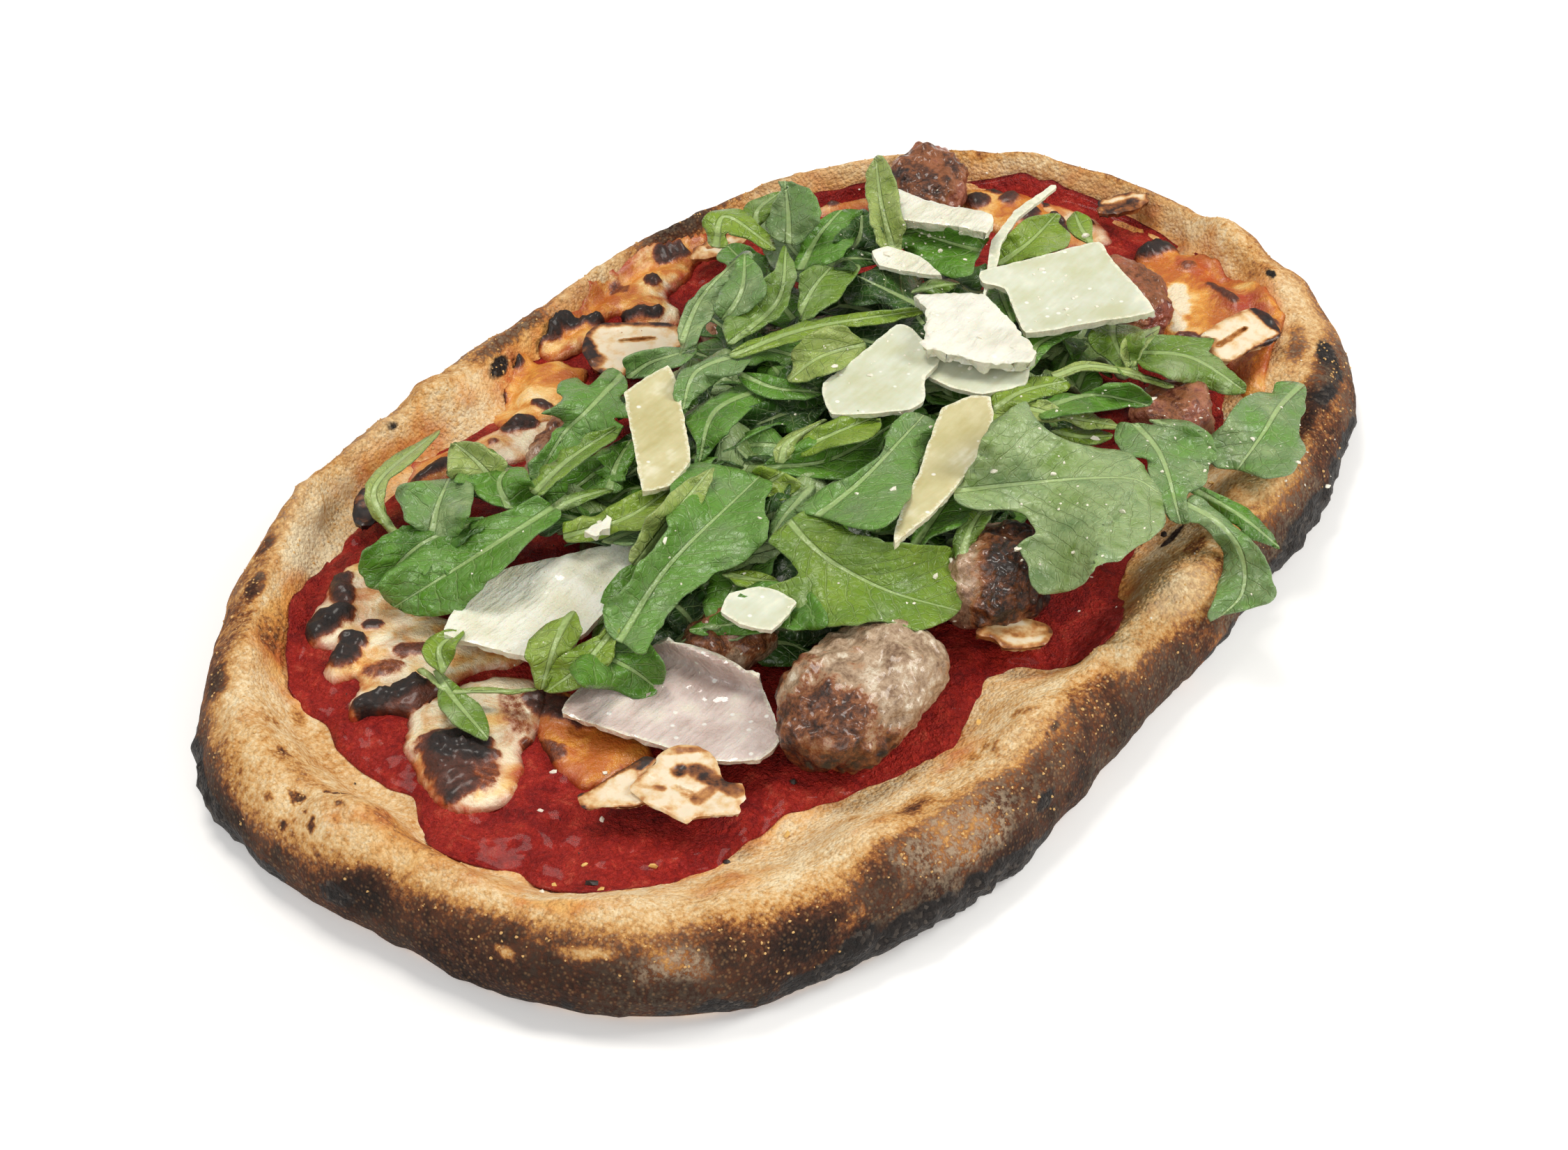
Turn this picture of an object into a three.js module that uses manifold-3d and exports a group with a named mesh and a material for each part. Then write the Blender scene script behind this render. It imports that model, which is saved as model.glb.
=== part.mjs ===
// A baked oval pinsa in millimetres: +X along its length, +Z up, the flat base of the crust on z = 0.
// Crust, tomato sauce, melted cheese, sausage pieces, garlic slices, a heap of rocket leaves with
// shavings of hard cheese, and two bits of rocket that lie apart from it.
import * as THREE from "three";
import { mergeVertices } from "three/addons/utils/BufferGeometryUtils.js";
import Module from "manifold-3d";

const wasm = await Module();
wasm.setup();

// Driving dimensions
const HALF_LENGTH = 160;
const HALF_WIDTH = 101.45;
const SQUARENESS = 2.65;
const CENTRE = { x: -8.19, y: -3.59 };
const GAP = 0.3;
const AROUND = 54;
const WIDEST_HEIGHT = 9;
const CREST_HEIGHT = 21.5;
const FLOOR_HEIGHT = 11.6;
const BASE_INSET = 8;
const SAUCE_TOP = 14.2;
const LEAF_THICKNESS = 0.9;

// How far the sauce reaches, as a share of the crust's radius, every 15 degrees from +X
const SAUCE_REACH = [
  0.94, 0.945, 0.935, 0.93, 0.94, 0.885, 0.83, 0.87, 0.9, 0.86, 0.86, 0.835,
  0.86, 0.83, 0.73, 0.71, 0.71, 0.68, 0.8, 0.77, 0.71, 0.71, 0.76, 0.89,
];

// Bubbles raised in the dough: x, y, radius, height
const BUBBLES = [
  [112, -60, 16, 3.5],
  [131, -47, 15, 4.5],
  [146, -28, 13, 4],
  [-20, 88, 13, 3],
  [-72, 92, 16, 3],
  [-122, 70, 16, 2.5],
  [-146, 12, 14, 2.5],
  [-134, -48, 18, 3],
  [-92, -78, 17, 2.5],
  [-40, -88, 18, 2],
  [18, -91, 16, 2],
  [62, -84, 18, 2.5],
  [150, 30, 12, 2],
  [105, 84, 14, 2],
];

// Melted cheese: name, x, y, half length, half width, turn in degrees, top height
const CHEESE = [
  ["cheese_left_far", -105, 50, 19, 25, 8, 17],
  ["cheese_left_near", -110, 10, 16, 13, 0, 16.6],
  ["cheese_left_front", -99, -13, 12, 6.5, -12, 16.4],
  ["cheese_far_side", 47, 85, 31, 7.5, 4, 17],
  ["cheese_far_left", 4, 82, 13, 7, -4, 16.8],
  ["cheese_right", 124, -31, 20, 12, 35, 17.4],
  ["cheese_back", 132, 26, 9, 14, 0, 17.2],
];

// Sausage: name, x, y, half length, half width, turn, top height, sides
const SAUSAGE = [
  ["sausage_front_left", -52, -52, 21, 14, 6, 34, 16],
  ["sausage_front_middle", -4, -56, 16, 12, 10, 32, 14],
  ["sausage_front_right", 73, -58, 11, 9, -20, 29, 12],
  ["sausage_right", 110, -26, 15, 8.5, 38, 27, 14],
  ["sausage_back", 124, 47, 12, 9.5, 20, 30, 14],
  ["sausage_far_left", -22, 58, 17, 5, 18, 22.5, 12],
  ["sausage_left_middle", -22, 40, 9, 6, 10, 24, 10],
  ["sausage_far_middle", 40, 50, 7, 5, 10, 24, 10],
  ["sausage_middle", -6, 12, 8, 6, 30, 25.5, 10],
  ["sausage_left", -53, -19, 12, 8, -15, 25.5, 12],
];

// Garlic slices: name, x, y, half length, half width, turn, middle height, thickness, tilt along,
// tilt across
const GARLIC = [
  ["garlic_far", 27, 71, 12.5, 8.5, -48, 18.2, 3, 0, 0],
  ["garlic_left_upper", -102, -22, 9.5, 4.5, 8, 20.2, 2.4, 0, -14],
  ["garlic_left_lower", -95, -38, 9, 7, 62, 18.6, 2.6, -8, 0],
  ["garlic_front", -14, -72, 7, 4.5, -60, 18.4, 2.6, 0, -12],
  ["garlic_right", 113, -55, 12, 6.5, -14, 20.4, 3, 6, -14],
  ["garlic_far_right", 71, 75, 8, 4, -16, 18.6, 2.2, 0, 0],
  ["garlic_far_burnt", -63, 79, 7, 3.5, 35, 18.6, 2, 0, 10],
  ["garlic_right_end", 146, 0, 7, 4, -30, 19, 2.2, 0, 0],
];

// Hard-cheese shavings: name, middle height, thickness, rise at the ends, corners x, y
const SHAVINGS = [
  ["shaving_left", 22.5, 1.6, 0.5, -90, 34, -70, 38, -63, 37, -42, 24, -41, 15, -61, 10, -77, 9, -85, 12],
  ["shaving_left_melted", 19.6, 1.6, 0, -94, -3, -62, -6, -61, -28, -72, -38, -82, -38, -90, -28],
  ["shaving_left_small", 29.5, 1.5, 0, -56, -17, -50, -15, -44, -19, -44, -29, -55, -30],
  ["shaving_far_strip", 37.2, 1.6, 1, -8, 45, 7, 43, -2, 33, -20, 17, -31, 15, -36, 19, -22, 32],
  ["shaving_middle", 38.6, 1.6, 1,
    15, 4, 19, 7, 47, 6, 49, 0, 43, -10, 35, -11, 27, -16, 22, -15, 15, -8, 10, -1],
  ["shaving_middle_thin", 37.4, 1.3, 0, 46, -14, 38, -13, 37, -18, 39, -25, 48, -31, 54, -28, 51, -18],
  ["shaving_middle_thick", 41.4, 3.4, 0,
    42, -7, 55, 2, 58, 7, 68, -6, 65, -13, 60, -21, 55, -29, 50, -30, 45, -21],
  ["shaving_front_wedge", 40.6, 1.7, 1.2,
    -23, -41, -17, -37, 1, -32, 19, -25, 25, -23, 33, -26, 35, -30, 27, -35, 11, -40, -9, -42],
  ["shaving_right", 37.6, 1.8, 0.6, 64, -21, 76, -8, 76, -2, 80, 1, 107, -16, 102, -23, 89, -42],
  ["shaving_back_thick", 41, 3, 1, 85, 27, 86, 34, 92, 38, 96, 36, 96, 27, 100, 11, 92, 8, 90, 17],
  ["shaving_back_sliver", 36.4, 1.2, 0, 79, 1, 92, 6.5, 106, 9.5, 118, 9, 118, 7, 107, 7, 95, 4],
  ["shaving_back_thin", 40, 1.3, 1, 66, 22, 70, 27, 74, 25, 75, 17, 71, 9, 68, 15],
  ["shaving_left_bit", 33.2, 2, 0, -52, 24, -44, 23, -46, 20, -52, 21],
];

// Half width of each kind of leaf along its rib, as a share of the stated one
const LEAF_KINDS = {
  spoon: [0.3, 0.65, 0.95, 1, 0.9, 0.3],
  strap: [0.5, 0.95, 1, 1, 0.85, 0.25],
  oval: [0.2, 0.75, 1, 0.95, 0.7, 0.15],
  oak: [0.35, 0.95, 0.65, 1, 0.85, 0.25],
  jag: [0.4, 0.95, 0.5, 1, 0.6, 0.2],
};

// Heap leaves: kind, base x y z, middle, tip, left and right half width, roll, cup
const LEAVES = [
  ["spoon", -49, 34, 31, -70, 38, 30, -90, 49, 22, 8, 10, 0, 12],
  ["oak", -60, 44, 30, -73, 53, 28, -86, 57, 22, 5, 7, 0, 10],
  ["oval", -70, 54, 27, -64, 56, 31, -53, 61, 31, 8, 8, 0, 15],
  ["oval", -48, 51, 28, -46, 59, 31, -45, 67, 33, 6, 4, 25, 10],
  ["oval", -54, 44, 30, -50, 49, 32, -41, 52, 31, 6, 7, 10, 10],
  ["jag", -48, 41, 31, -35, 41, 33, -16, 39, 32, 4, 4, 0, 12],
  ["jag", -39, 47, 31, -25, 46, 35, -2, 47, 35, 9, 4, 0, 10],
  ["oval", -53, 26, 29, -44, 15, 32, -29, 16, 32, 4.5, 6, -8, 10],
  ["strap", -77, -5, 28, -53, -1, 33, -17, 0, 34, 7, 11, 0, 14],
  ["oval", -76, 9, 30, -86, 6, 29, -94, 4, 22, 4.5, 5.5, 0, 8],
  ["spoon", -73, -1, 29, -85, -2, 27, -94, 3, 22, 5, 6, 0, 8],
  ["spoon", -81, -1, 27, -79, -9, 25, -77, -15, 20, 8, 8, 0, 8],
  ["strap", -57, 5, 33, -41, 6, 37, -24, 8, 38, 4.5, 3.5, -35, 6],
  ["oval", -10, 3, 31, 1, -8, 32, 24, -14, 33, 8, 7, 0, 10],
  ["oval", -6, -1, 34, 2, -5, 36, 16, -10, 35, 4, 5.5, -6, 14],
  ["oval", 15, 20, 32, -3, 22, 35, -17, 17, 30, 6, 6, 0, -10],
  ["oval", 22, 8, 29, 10, 14, 29, 1, 20, 26, 7, 7, 0, 12],
  ["strap", 41, 7, 35, 26, 12, 38, 15, 14, 36, 4.5, 8.5, 0, 14],
  ["oak", 21, 29, 35, 4, 32, 38, -7, 29, 34, 5, 6, 0, -8],
  ["strap", 15, 30, 37, 32, 20, 39, 60, 2, 36, 3, 3.4, -15, 8],
  ["strap", 13, 44, 33, 31, 51, 36, 53, 53, 37, 3.5, 5, 0, 12],
  ["oval", 29, 43, 34, 38, 43, 38, 50, 51, 39, 5.5, 5.5, 0, 16],
  ["spoon", 21, 35, 35, 40, 34, 37, 58, 44, 39, 7, 3.5, 0, 14],
  ["strap", 46, 57, 40, 55, 61, 43, 56, 46, 38, 4, 4, 20, 6],
  ["oval", 59, 44, 37, 65, 49, 42, 74, 56, 46, 7, 5, 10, 14],
  ["strap", 55, 38, 36, 67, 40, 39, 79, 41, 41, 5, 5, 0, 14],
  ["oval", 64, 33, 35, 72, 32, 38, 83, 38, 39, 6, 6, 0, 10],
  ["strap", 72, 21, 36, 82, 32, 42, 94, 42, 46, 4, 4.5, 0, 20],
  ["oak", 35, 26, 36, 47, 29, 39, 62, 31, 38, 7, 6, 0, 12],
  ["spoon", 62, 7, 33, 59, 15, 37, 58, 25, 38, 9, 9, 0, -8],
  ["strap", 92, 7, 32, 87, 17, 35, 82, 29, 37, 8, 8, 0, 10],
  ["oval", 90, 3, 31, 101, 1, 33, 119, 4, 30, 6, 8, 0, 10],
  ["oval", 55, -28, 33, 64, -25, 34, 77, -29, 33, 5, 3, 0, 8],
  ["strap", 88, -32, 31, 79, -37, 32, 71, -46, 30, 5, 5, 0, 14],
  ["oak", 79, -42, 30, 86, -54, 29, 89, -70, 23, 9, 7, 0, 14],
  ["strap", 44, -40, 34, 54, -47, 34, 62, -59, 31, 6, 6, 0, 10],
  ["oak", 39, -35, 35, 43, -47, 34, 51, -57, 31, 4.5, 4, 0, 12],
  ["strap", 33, -30, 35, 42, -34, 37, 56, -39, 34, 4, 4.5, 0, -12],
  ["oak", -2, -42, 38, 17, -59, 40, 30, -79, 35, 16, 22, 0, 10],
  ["oak", 49, -59, 36, 41, -72, 35, 26, -87, 31, 8, 8, 0, 12],
  ["strap", 36, -80, 32, 33, -96, 28, 31, -101, 20, 4, 7, 0, 10],
  ["spoon", -27, -21, 37, -10, -23, 39, 22, -20, 37, 4.5, 11, 0, 10],
  ["oak", -26, -19, 37, -34, -38, 35, -24, -59, 27, 15, 14, 0, 8],
  ["oval", -40, -28, 32, -52, -28, 30, -62, -15, 27, 7, 7, 0, 10],
  ["spoon", -13, -41, 31, -3, -40, 33, 9, -39, 34, 5, 7, 0, 8],
];

// Bits of rocket that lie apart from the heap: name, then its leaves in rows as above
const LOOSE = [
  ["rocket_leaf_right", ["oak", 96, -80, 26, 75, -84, 29, 57, -85, 27, 9, 11, 0, 8]],
  [
    "rocket_sprig_left",
    ["spoon", -98.5, 33, 20.6, -105, 19, 20, -110, 6, 19, 3.6, 3.6, 0, 10],
    ["oval", -101, 28, 20.4, -95, 31, 22.5, -87, 31, 23.5, 4, 4, 0, 10],
    ["strap", -101, 33, 20.6, -101.5, 21, 21, -96.5, 6, 22, 1, 1, 0, 0],
  ],
];

// The dark mass of leaves under the heap
const HEAP = { x: 17, y: 0, halfLength: 88, halfWidth: 50, base: 14.6, top: 34 };
const STEM_RADIUS = 1.3;

// A steady stream of numbers from 0 to 1
function stream(seed) {
  let s = seed * 2654435761 + 1013904223;
  return () => {
    s = (Math.imul(s ^ (s >>> 15), 2246822519) + 374761393) | 0;
    return ((s ^ (s >>> 13)) >>> 0) / 4294967296;
  };
}

const radians = (degrees) => (degrees * Math.PI) / 180;
const smooth = (a, b, x) => {
  const t = Math.min(1, Math.max(0, (x - a) / (b - a)));
  return t * t * (3 - 2 * t);
};

// A closed body as a solid
function solid(points, triangles) {
  const geometry = new THREE.BufferGeometry();
  geometry.setAttribute("position", new THREE.Float32BufferAttribute(points.flat(), 3));
  geometry.setIndex(triangles);
  const merged = mergeVertices(geometry, 1e-4);
  return new wasm.Manifold(
    new wasm.Mesh({
      numProp: 3,
      vertProperties: merged.attributes.position.array,
      triVerts: new Uint32Array(merged.index.array),
    }),
  );
}

// Rings of points joined from the bottom centre up to the top centre, each ring counter-clockwise
// seen from above
function loft(bottom, rings, top) {
  const n = rings[0].length;
  const points = [bottom, ...rings.flat(), top];
  const last = points.length - 1;
  const at = (r, i) => 1 + r * n + (i % n);
  const triangles = [];
  for (let i = 0; i < n; i++) {
    triangles.push(0, at(0, i + 1), at(0, i));
    for (let r = 0; r + 1 < rings.length; r++) {
      triangles.push(at(r, i), at(r, i + 1), at(r + 1, i + 1));
      triangles.push(at(r, i), at(r + 1, i + 1), at(r + 1, i));
    }
    triangles.push(last, at(rings.length - 1, i), at(rings.length - 1, i + 1));
  }
  return solid(points, triangles);
}

// The crust's outline: a rounded oval with a few swells and a fine unevenness
function crustRadius(t) {
  const c = Math.abs(Math.cos(t) / HALF_LENGTH) ** SQUARENESS;
  const s = Math.abs(Math.sin(t) / HALF_WIDTH) ** SQUARENESS;
  const oval = (c + s) ** (-1 / SQUARENESS);
  const drift = 1 + 0.027 * Math.cos(t) + 0.025 * Math.sin(t);
  const lobes = 1 + 0.022 * Math.cos(3 * t) - 0.014 * Math.sin(3 * t);
  return oval * drift * lobes + 0.6 * Math.sin(9 * t + 1) + 0.4 * Math.sin(14 * t);
}

// The sauce's edge at an angle, between the stated shares
function sauceRadius(t) {
  const turn = ((t / (2 * Math.PI)) % 1) + 1;
  const place = (turn % 1) * SAUCE_REACH.length;
  const i = Math.floor(place);
  const a = SAUCE_REACH[i % SAUCE_REACH.length];
  const b = SAUCE_REACH[(i + 1) % SAUCE_REACH.length];
  return crustRadius(t) * (a + (b - a) * smooth(0, 1, place - i));
}

function bubbleRise(x, y) {
  let rise = 0;
  for (const [bx, by, r, h] of BUBBLES) {
    const d = Math.hypot(x - bx, y - by) / r;
    if (d < 1) rise += h * (1 - d * d) ** 2;
  }
  return rise;
}

// Height of the crust's top at an angle and a radius
function crustTop(t, r) {
  const outer = crustRadius(t);
  const edge = sauceRadius(t);
  const crest = outer - Math.min(11, 0.55 * (outer - edge));
  const crestHeight = CREST_HEIGHT + 1.2 * Math.cos(t - Math.PI) + 0.7 * Math.sin(4 * t);
  const x = CENTRE.x + r * Math.cos(t);
  const y = CENTRE.y + r * Math.sin(t);
  const slope = FLOOR_HEIGHT + (crestHeight - FLOOR_HEIGHT) * smooth(edge - 3, crest, r);
  return slope + bubbleRise(x, y) * smooth(edge - 14, edge, r);
}

// The crust, or its shape grown by a margin to cut others with
function crust(grow) {
  const ring = (radius, height) => {
    const points = [];
    for (let i = 0; i < AROUND; i++) {
      const t = (i / AROUND) * 2 * Math.PI;
      const r = radius(t);
      points.push([CENTRE.x + r * Math.cos(t), CENTRE.y + r * Math.sin(t), height(t, r)]);
    }
    return points;
  };
  const outward = (inset, z) => ring((t) => crustRadius(t) - inset + grow, () => z);
  const crestAt = (t) => crustRadius(t) - Math.min(11, 0.55 * (crustRadius(t) - sauceRadius(t)));
  const between = (share) => (t) => sauceRadius(t) + (crestAt(t) - sauceRadius(t)) * share;
  const surface = (radius) => ring(radius, (t, r) => crustTop(t, r) + grow);
  const shoulder = ring(
    (t) => crustRadius(t) - 2.2 + grow * 0.7,
    (t) => 0.42 * WIDEST_HEIGHT + 0.58 * crustTop(t, crestAt(t)) + grow * 0.7,
  );
  const brow = ring(
    (t) => (0.45 * crustRadius(t) + 0.55 * crestAt(t)) + grow * 0.4,
    (t) => 0.14 * WIDEST_HEIGHT + 0.86 * crustTop(t, crestAt(t)) + grow,
  );
  const rings = [
    outward(BASE_INSET, -grow),
    outward(3.4, 1.7),
    outward(0.9, 4.8),
    outward(0, WIDEST_HEIGHT),
    outward(0.5, WIDEST_HEIGHT + 2.6),
    shoulder,
    brow,
    surface(crestAt),
    surface(between(0.72)),
    surface(between(0.45)),
    surface(between(0.2)),
    surface((t) => sauceRadius(t) - 1),
    surface((t) => sauceRadius(t) * 0.9),
    surface((t) => sauceRadius(t) * 0.55),
  ];
  const top = [CENTRE.x, CENTRE.y, FLOOR_HEIGHT + grow];
  return loft([CENTRE.x, CENTRE.y, -grow], rings, top);
}

// The tomato sauce: a shallow pool on the crust's floor
function sauce(grow) {
  const n = 32;
  const ring = (share, height) =>
    Array.from({ length: n }, (_, i) => {
      const t = (i / n) * 2 * Math.PI;
      const r = sauceRadius(t) * share;
      const ripple = 0.25 * Math.sin(7 * t + share * 9) * share;
      return [CENTRE.x + r * Math.cos(t), CENTRE.y + r * Math.sin(t), height + (share > 0.3 ? ripple : 0)];
    });
  const rings = [
    ring(0.985, FLOOR_HEIGHT + 0.1),
    ring(0.985, SAUCE_TOP - 0.7 + grow),
    ring(0.93, SAUCE_TOP + grow),
    ring(0.55, SAUCE_TOP + grow),
  ];
  return loft([CENTRE.x, CENTRE.y, FLOOR_HEIGHT + 0.1], rings, [CENTRE.x, CENTRE.y, SAUCE_TOP + grow]);
}

// A rounded uneven lump between two heights: rows give radius share and height share
function lump(seed, x, y, a, b, turn, z0, z1, sides, rows) {
  const next = stream(seed);
  const phase = [next() * 6, next() * 6, next() * 6];
  const cos = Math.cos(radians(turn));
  const sin = Math.sin(radians(turn));
  const rings = rows.map(([share, rise], k) =>
    Array.from({ length: sides }, (_, i) => {
      const t = (i / sides) * 2 * Math.PI;
      const uneven = 1 + 0.09 * Math.sin(2 * t + phase[0]) + 0.07 * Math.sin(3 * t + phase[1] + k * 0.5);
      const px = a * share * uneven * Math.cos(t);
      const py = b * share * uneven * Math.sin(t);
      const wave = k ? 0.05 * (z1 - z0) * Math.sin(2 * t + phase[2]) * rise : 0;
      return [x + px * cos - py * sin, y + px * sin + py * cos, z0 + (z1 - z0) * rise + wave];
    }),
  );
  return loft([x, y, z0], rings, [x, y, z1]);
}

const SAUSAGE_ROWS = [
  [0.86, 0],
  [1, 0.32],
  [0.96, 0.62],
  [0.78, 0.86],
  [0.42, 0.98],
];
const CHEESE_ROWS = [
  [0.98, 0],
  [1, 0.4],
  [0.86, 0.85],
  [0.5, 1],
];

function sausage([, x, y, a, b, turn, z1, sides], seed, grow) {
  return lump(seed, x, y, a + grow, b + grow, turn, 12.5, z1 + grow, sides, SAUSAGE_ROWS);
}

function cheese([, x, y, a, b, turn, z1], seed, grow) {
  return lump(seed + 40, x, y, a + grow, b + grow, turn, 11.8, z1 + grow, 12, CHEESE_ROWS);
}

// A flat slice with a rounded outline, tilted about its middle
function slice([, x, y, a, b, turn, z, thickness, along, across], grow) {
  const sides = 11;
  const cos = Math.cos(radians(turn));
  const sin = Math.sin(radians(turn));
  const ring = (share, lift) =>
    Array.from({ length: sides }, (_, i) => {
      const t = (i / sides) * 2 * Math.PI;
      const px = (a + grow) * share * (Math.cos(t) + 0.08 * Math.cos(2 * t));
      const py = (b + grow) * share * Math.sin(t);
      const tilt = px * Math.tan(radians(along)) + py * Math.tan(radians(across));
      return [x + px * cos - py * sin, y + px * sin + py * cos, z + tilt + lift];
    });
  const h = thickness / 2 + grow;
  const rings = [ring(0.93, -h), ring(1, -0.4 * h), ring(1, 0.4 * h), ring(0.93, h)];
  return loft([x, y, z - h], rings, [x, y, z + h]);
}

// A shaved sheet of hard cheese from its corners, its ends lifted a little
function shaving([, z, thickness, rise, ...corners], grow) {
  const pairs = [];
  for (let i = 0; i < corners.length; i += 2) pairs.push([corners[i], corners[i + 1]]);
  const mx = pairs.reduce((s, p) => s + p[0], 0) / pairs.length;
  const my = pairs.reduce((s, p) => s + p[1], 0) / pairs.length;
  const reach = Math.max(...pairs.map((p) => Math.hypot(p[0] - mx, p[1] - my)));
  const area = pairs.reduce((s, p, i) => {
    const q = pairs[(i + 1) % pairs.length];
    return s + p[0] * q[1] - q[0] * p[1];
  }, 0);
  if (area < 0) pairs.reverse();
  const h = thickness / 2 + grow;
  const ring = (lift) =>
    pairs.map(([px, py]) => {
      const d = Math.hypot(px - mx, py - my);
      const k = 1 + grow / d;
      return [mx + (px - mx) * k, my + (py - my) * k, z + rise * (d / reach) ** 2 + lift];
    });
  return loft([mx, my, z - h], [ring(-h), ring(h)], [mx, my, z + h]);
}

// A thin wavy leaf along its rib, both faces split into triangles alike, or its shape grown by a margin
function leaf([kind, bx, by, bz, mx, my, mz, tx, ty, tz, left, right, roll, cup], grow = 0) {
  const shares = LEAF_KINDS[kind];
  const base = new THREE.Vector3(bx, by, bz);
  const middle = new THREE.Vector3(mx, my, mz);
  const tip = new THREE.Vector3(tx, ty, tz);
  base.addScaledVector(base.clone().sub(middle).normalize(), grow);
  tip.addScaledVector(tip.clone().sub(middle).normalize(), grow);
  const path = new THREE.CatmullRomCurve3([base, middle, tip]);
  const rows = shares.map((share, k) => {
    const u = k / (shares.length - 1);
    const at = path.getPoint(u);
    const along = path.getTangent(u);
    const side = new THREE.Vector3(0, 0, 1).cross(along).normalize();
    const up = along.clone().cross(side).normalize();
    side.applyAxisAngle(along, radians(-roll));
    up.applyAxisAngle(along, radians(-roll));
    const lift = Math.tan(radians(cup)) * (k % 2 ? 1.25 : 0.75);
    const edge = (width, sign) => {
      const reach = width * share;
      return at.clone().addScaledVector(side, sign * (reach + grow)).addScaledVector(up, reach * lift);
    };
    return { up, across: [edge(right, -1), at.clone(), edge(left, 1)] };
  });
  const points = [];
  for (const half of [LEAF_THICKNESS / 2 + grow, -LEAF_THICKNESS / 2 - grow]) {
    for (const { up, across } of rows) {
      for (const p of across) points.push(p.clone().addScaledVector(up, half).toArray());
    }
  }
  const m = rows.length;
  const at = (face, r, c) => face * m * 3 + r * 3 + c;
  const triangles = [];
  for (let r = 0; r + 1 < m; r++) {
    for (let c = 0; c < 2; c++) {
      triangles.push(at(0, r, c), at(0, r + 1, c), at(0, r + 1, c + 1));
      triangles.push(at(0, r, c), at(0, r + 1, c + 1), at(0, r, c + 1));
      triangles.push(at(1, r, c), at(1, r + 1, c + 1), at(1, r + 1, c));
      triangles.push(at(1, r, c), at(1, r, c + 1), at(1, r + 1, c + 1));
    }
    triangles.push(at(0, r, 0), at(1, r, 0), at(1, r + 1, 0));
    triangles.push(at(0, r, 0), at(1, r + 1, 0), at(0, r + 1, 0));
    triangles.push(at(0, r, 2), at(1, r + 1, 2), at(1, r, 2));
    triangles.push(at(0, r, 2), at(0, r + 1, 2), at(1, r + 1, 2));
  }
  for (let c = 0; c < 2; c++) {
    triangles.push(at(0, 0, c), at(0, 0, c + 1), at(1, 0, c + 1));
    triangles.push(at(0, 0, c), at(1, 0, c + 1), at(1, 0, c));
    const e = m - 1;
    triangles.push(at(0, e, c), at(1, e, c + 1), at(0, e, c + 1));
    triangles.push(at(0, e, c), at(1, e, c), at(1, e, c + 1));
  }
  return solid(points, triangles);
}

// The rounded mass that the heap's leaves grow out of
function heapCore() {
  const { x, y, halfLength, halfWidth, base, top } = HEAP;
  const rows = [
    [1, 0],
    [1, 0.3],
    [0.94, 0.6],
    [0.82, 0.82],
    [0.55, 0.96],
  ];
  return lump(77, x, y, halfLength, halfWidth, 4, base, top, 18, rows);
}

// A leaf's stalk: from the rib point nearest the heap's middle down into the mass
function stem([, ...numbers]) {
  const points = [0, 3, 6].map((i) => new THREE.Vector3(...numbers.slice(i, i + 3)));
  const middle = new THREE.Vector3(HEAP.x, HEAP.y, HEAP.base + 6);
  const reach = (p) => Math.hypot((p.x - HEAP.x) / HEAP.halfLength, (p.y - HEAP.y) / HEAP.halfWidth);
  const top = points.reduce((a, b) => (reach(b) < reach(a) ? b : a));
  const foot = top.clone().lerp(middle, 0.25 + 0.3 * smooth(0.7, 1.2, reach(top)));
  foot.z = middle.z;
  const ring = (p) =>
    Array.from({ length: 4 }, (_, i) => {
      const t = (i / 4) * 2 * Math.PI;
      return [p.x + STEM_RADIUS * Math.cos(t), p.y + STEM_RADIUS * Math.sin(t), p.z];
    });
  return loft(foot.toArray(), [ring(foot), ring(top)], top.toArray());
}

const largest = (body) => body.decompose().reduce((a, b) => (b.volume() > a.volume() ? b : a));
const material = (colour, roughness) =>
  new THREE.MeshStandardMaterial({ color: colour, roughness, metalness: 0 });

const DOUGH = material(0xd2a468, 0.85);
const SAUCE = material(0x8e1f12, 0.35);
const MELTED = material(0xe7a54a, 0.35);
const MEAT = material(0x8b6248, 0.6);
const GARLIC_MAT = material(0xecd9a6, 0.55);
const ROCKET = material(0x5f8a3a, 0.5);
const HARD_CHEESE = material(0xe9e4bf, 0.5);

const group = new THREE.Group();

function addMesh(name, body, surface) {
  const mesh = body.getMesh();
  const geometry = new THREE.BufferGeometry();
  geometry.setAttribute("position", new THREE.BufferAttribute(new Float32Array(mesh.vertProperties), 3));
  geometry.setIndex(new THREE.BufferAttribute(new Uint32Array(mesh.triVerts), 1));
  geometry.computeVertexNormals();
  const node = new THREE.Mesh(geometry, surface);
  node.name = name;
  group.add(node);
}

// Pieces from the bottom up: each is cut back from the ones below, which are kept grown by the gap
const below = [];
function lay(name, body, grown, surface) {
  const kept = largest(below.reduce((rest, grownBelow) => rest.subtract(grownBelow), body));
  addMesh(name, kept, surface);
  below.push(grown);
}

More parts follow.
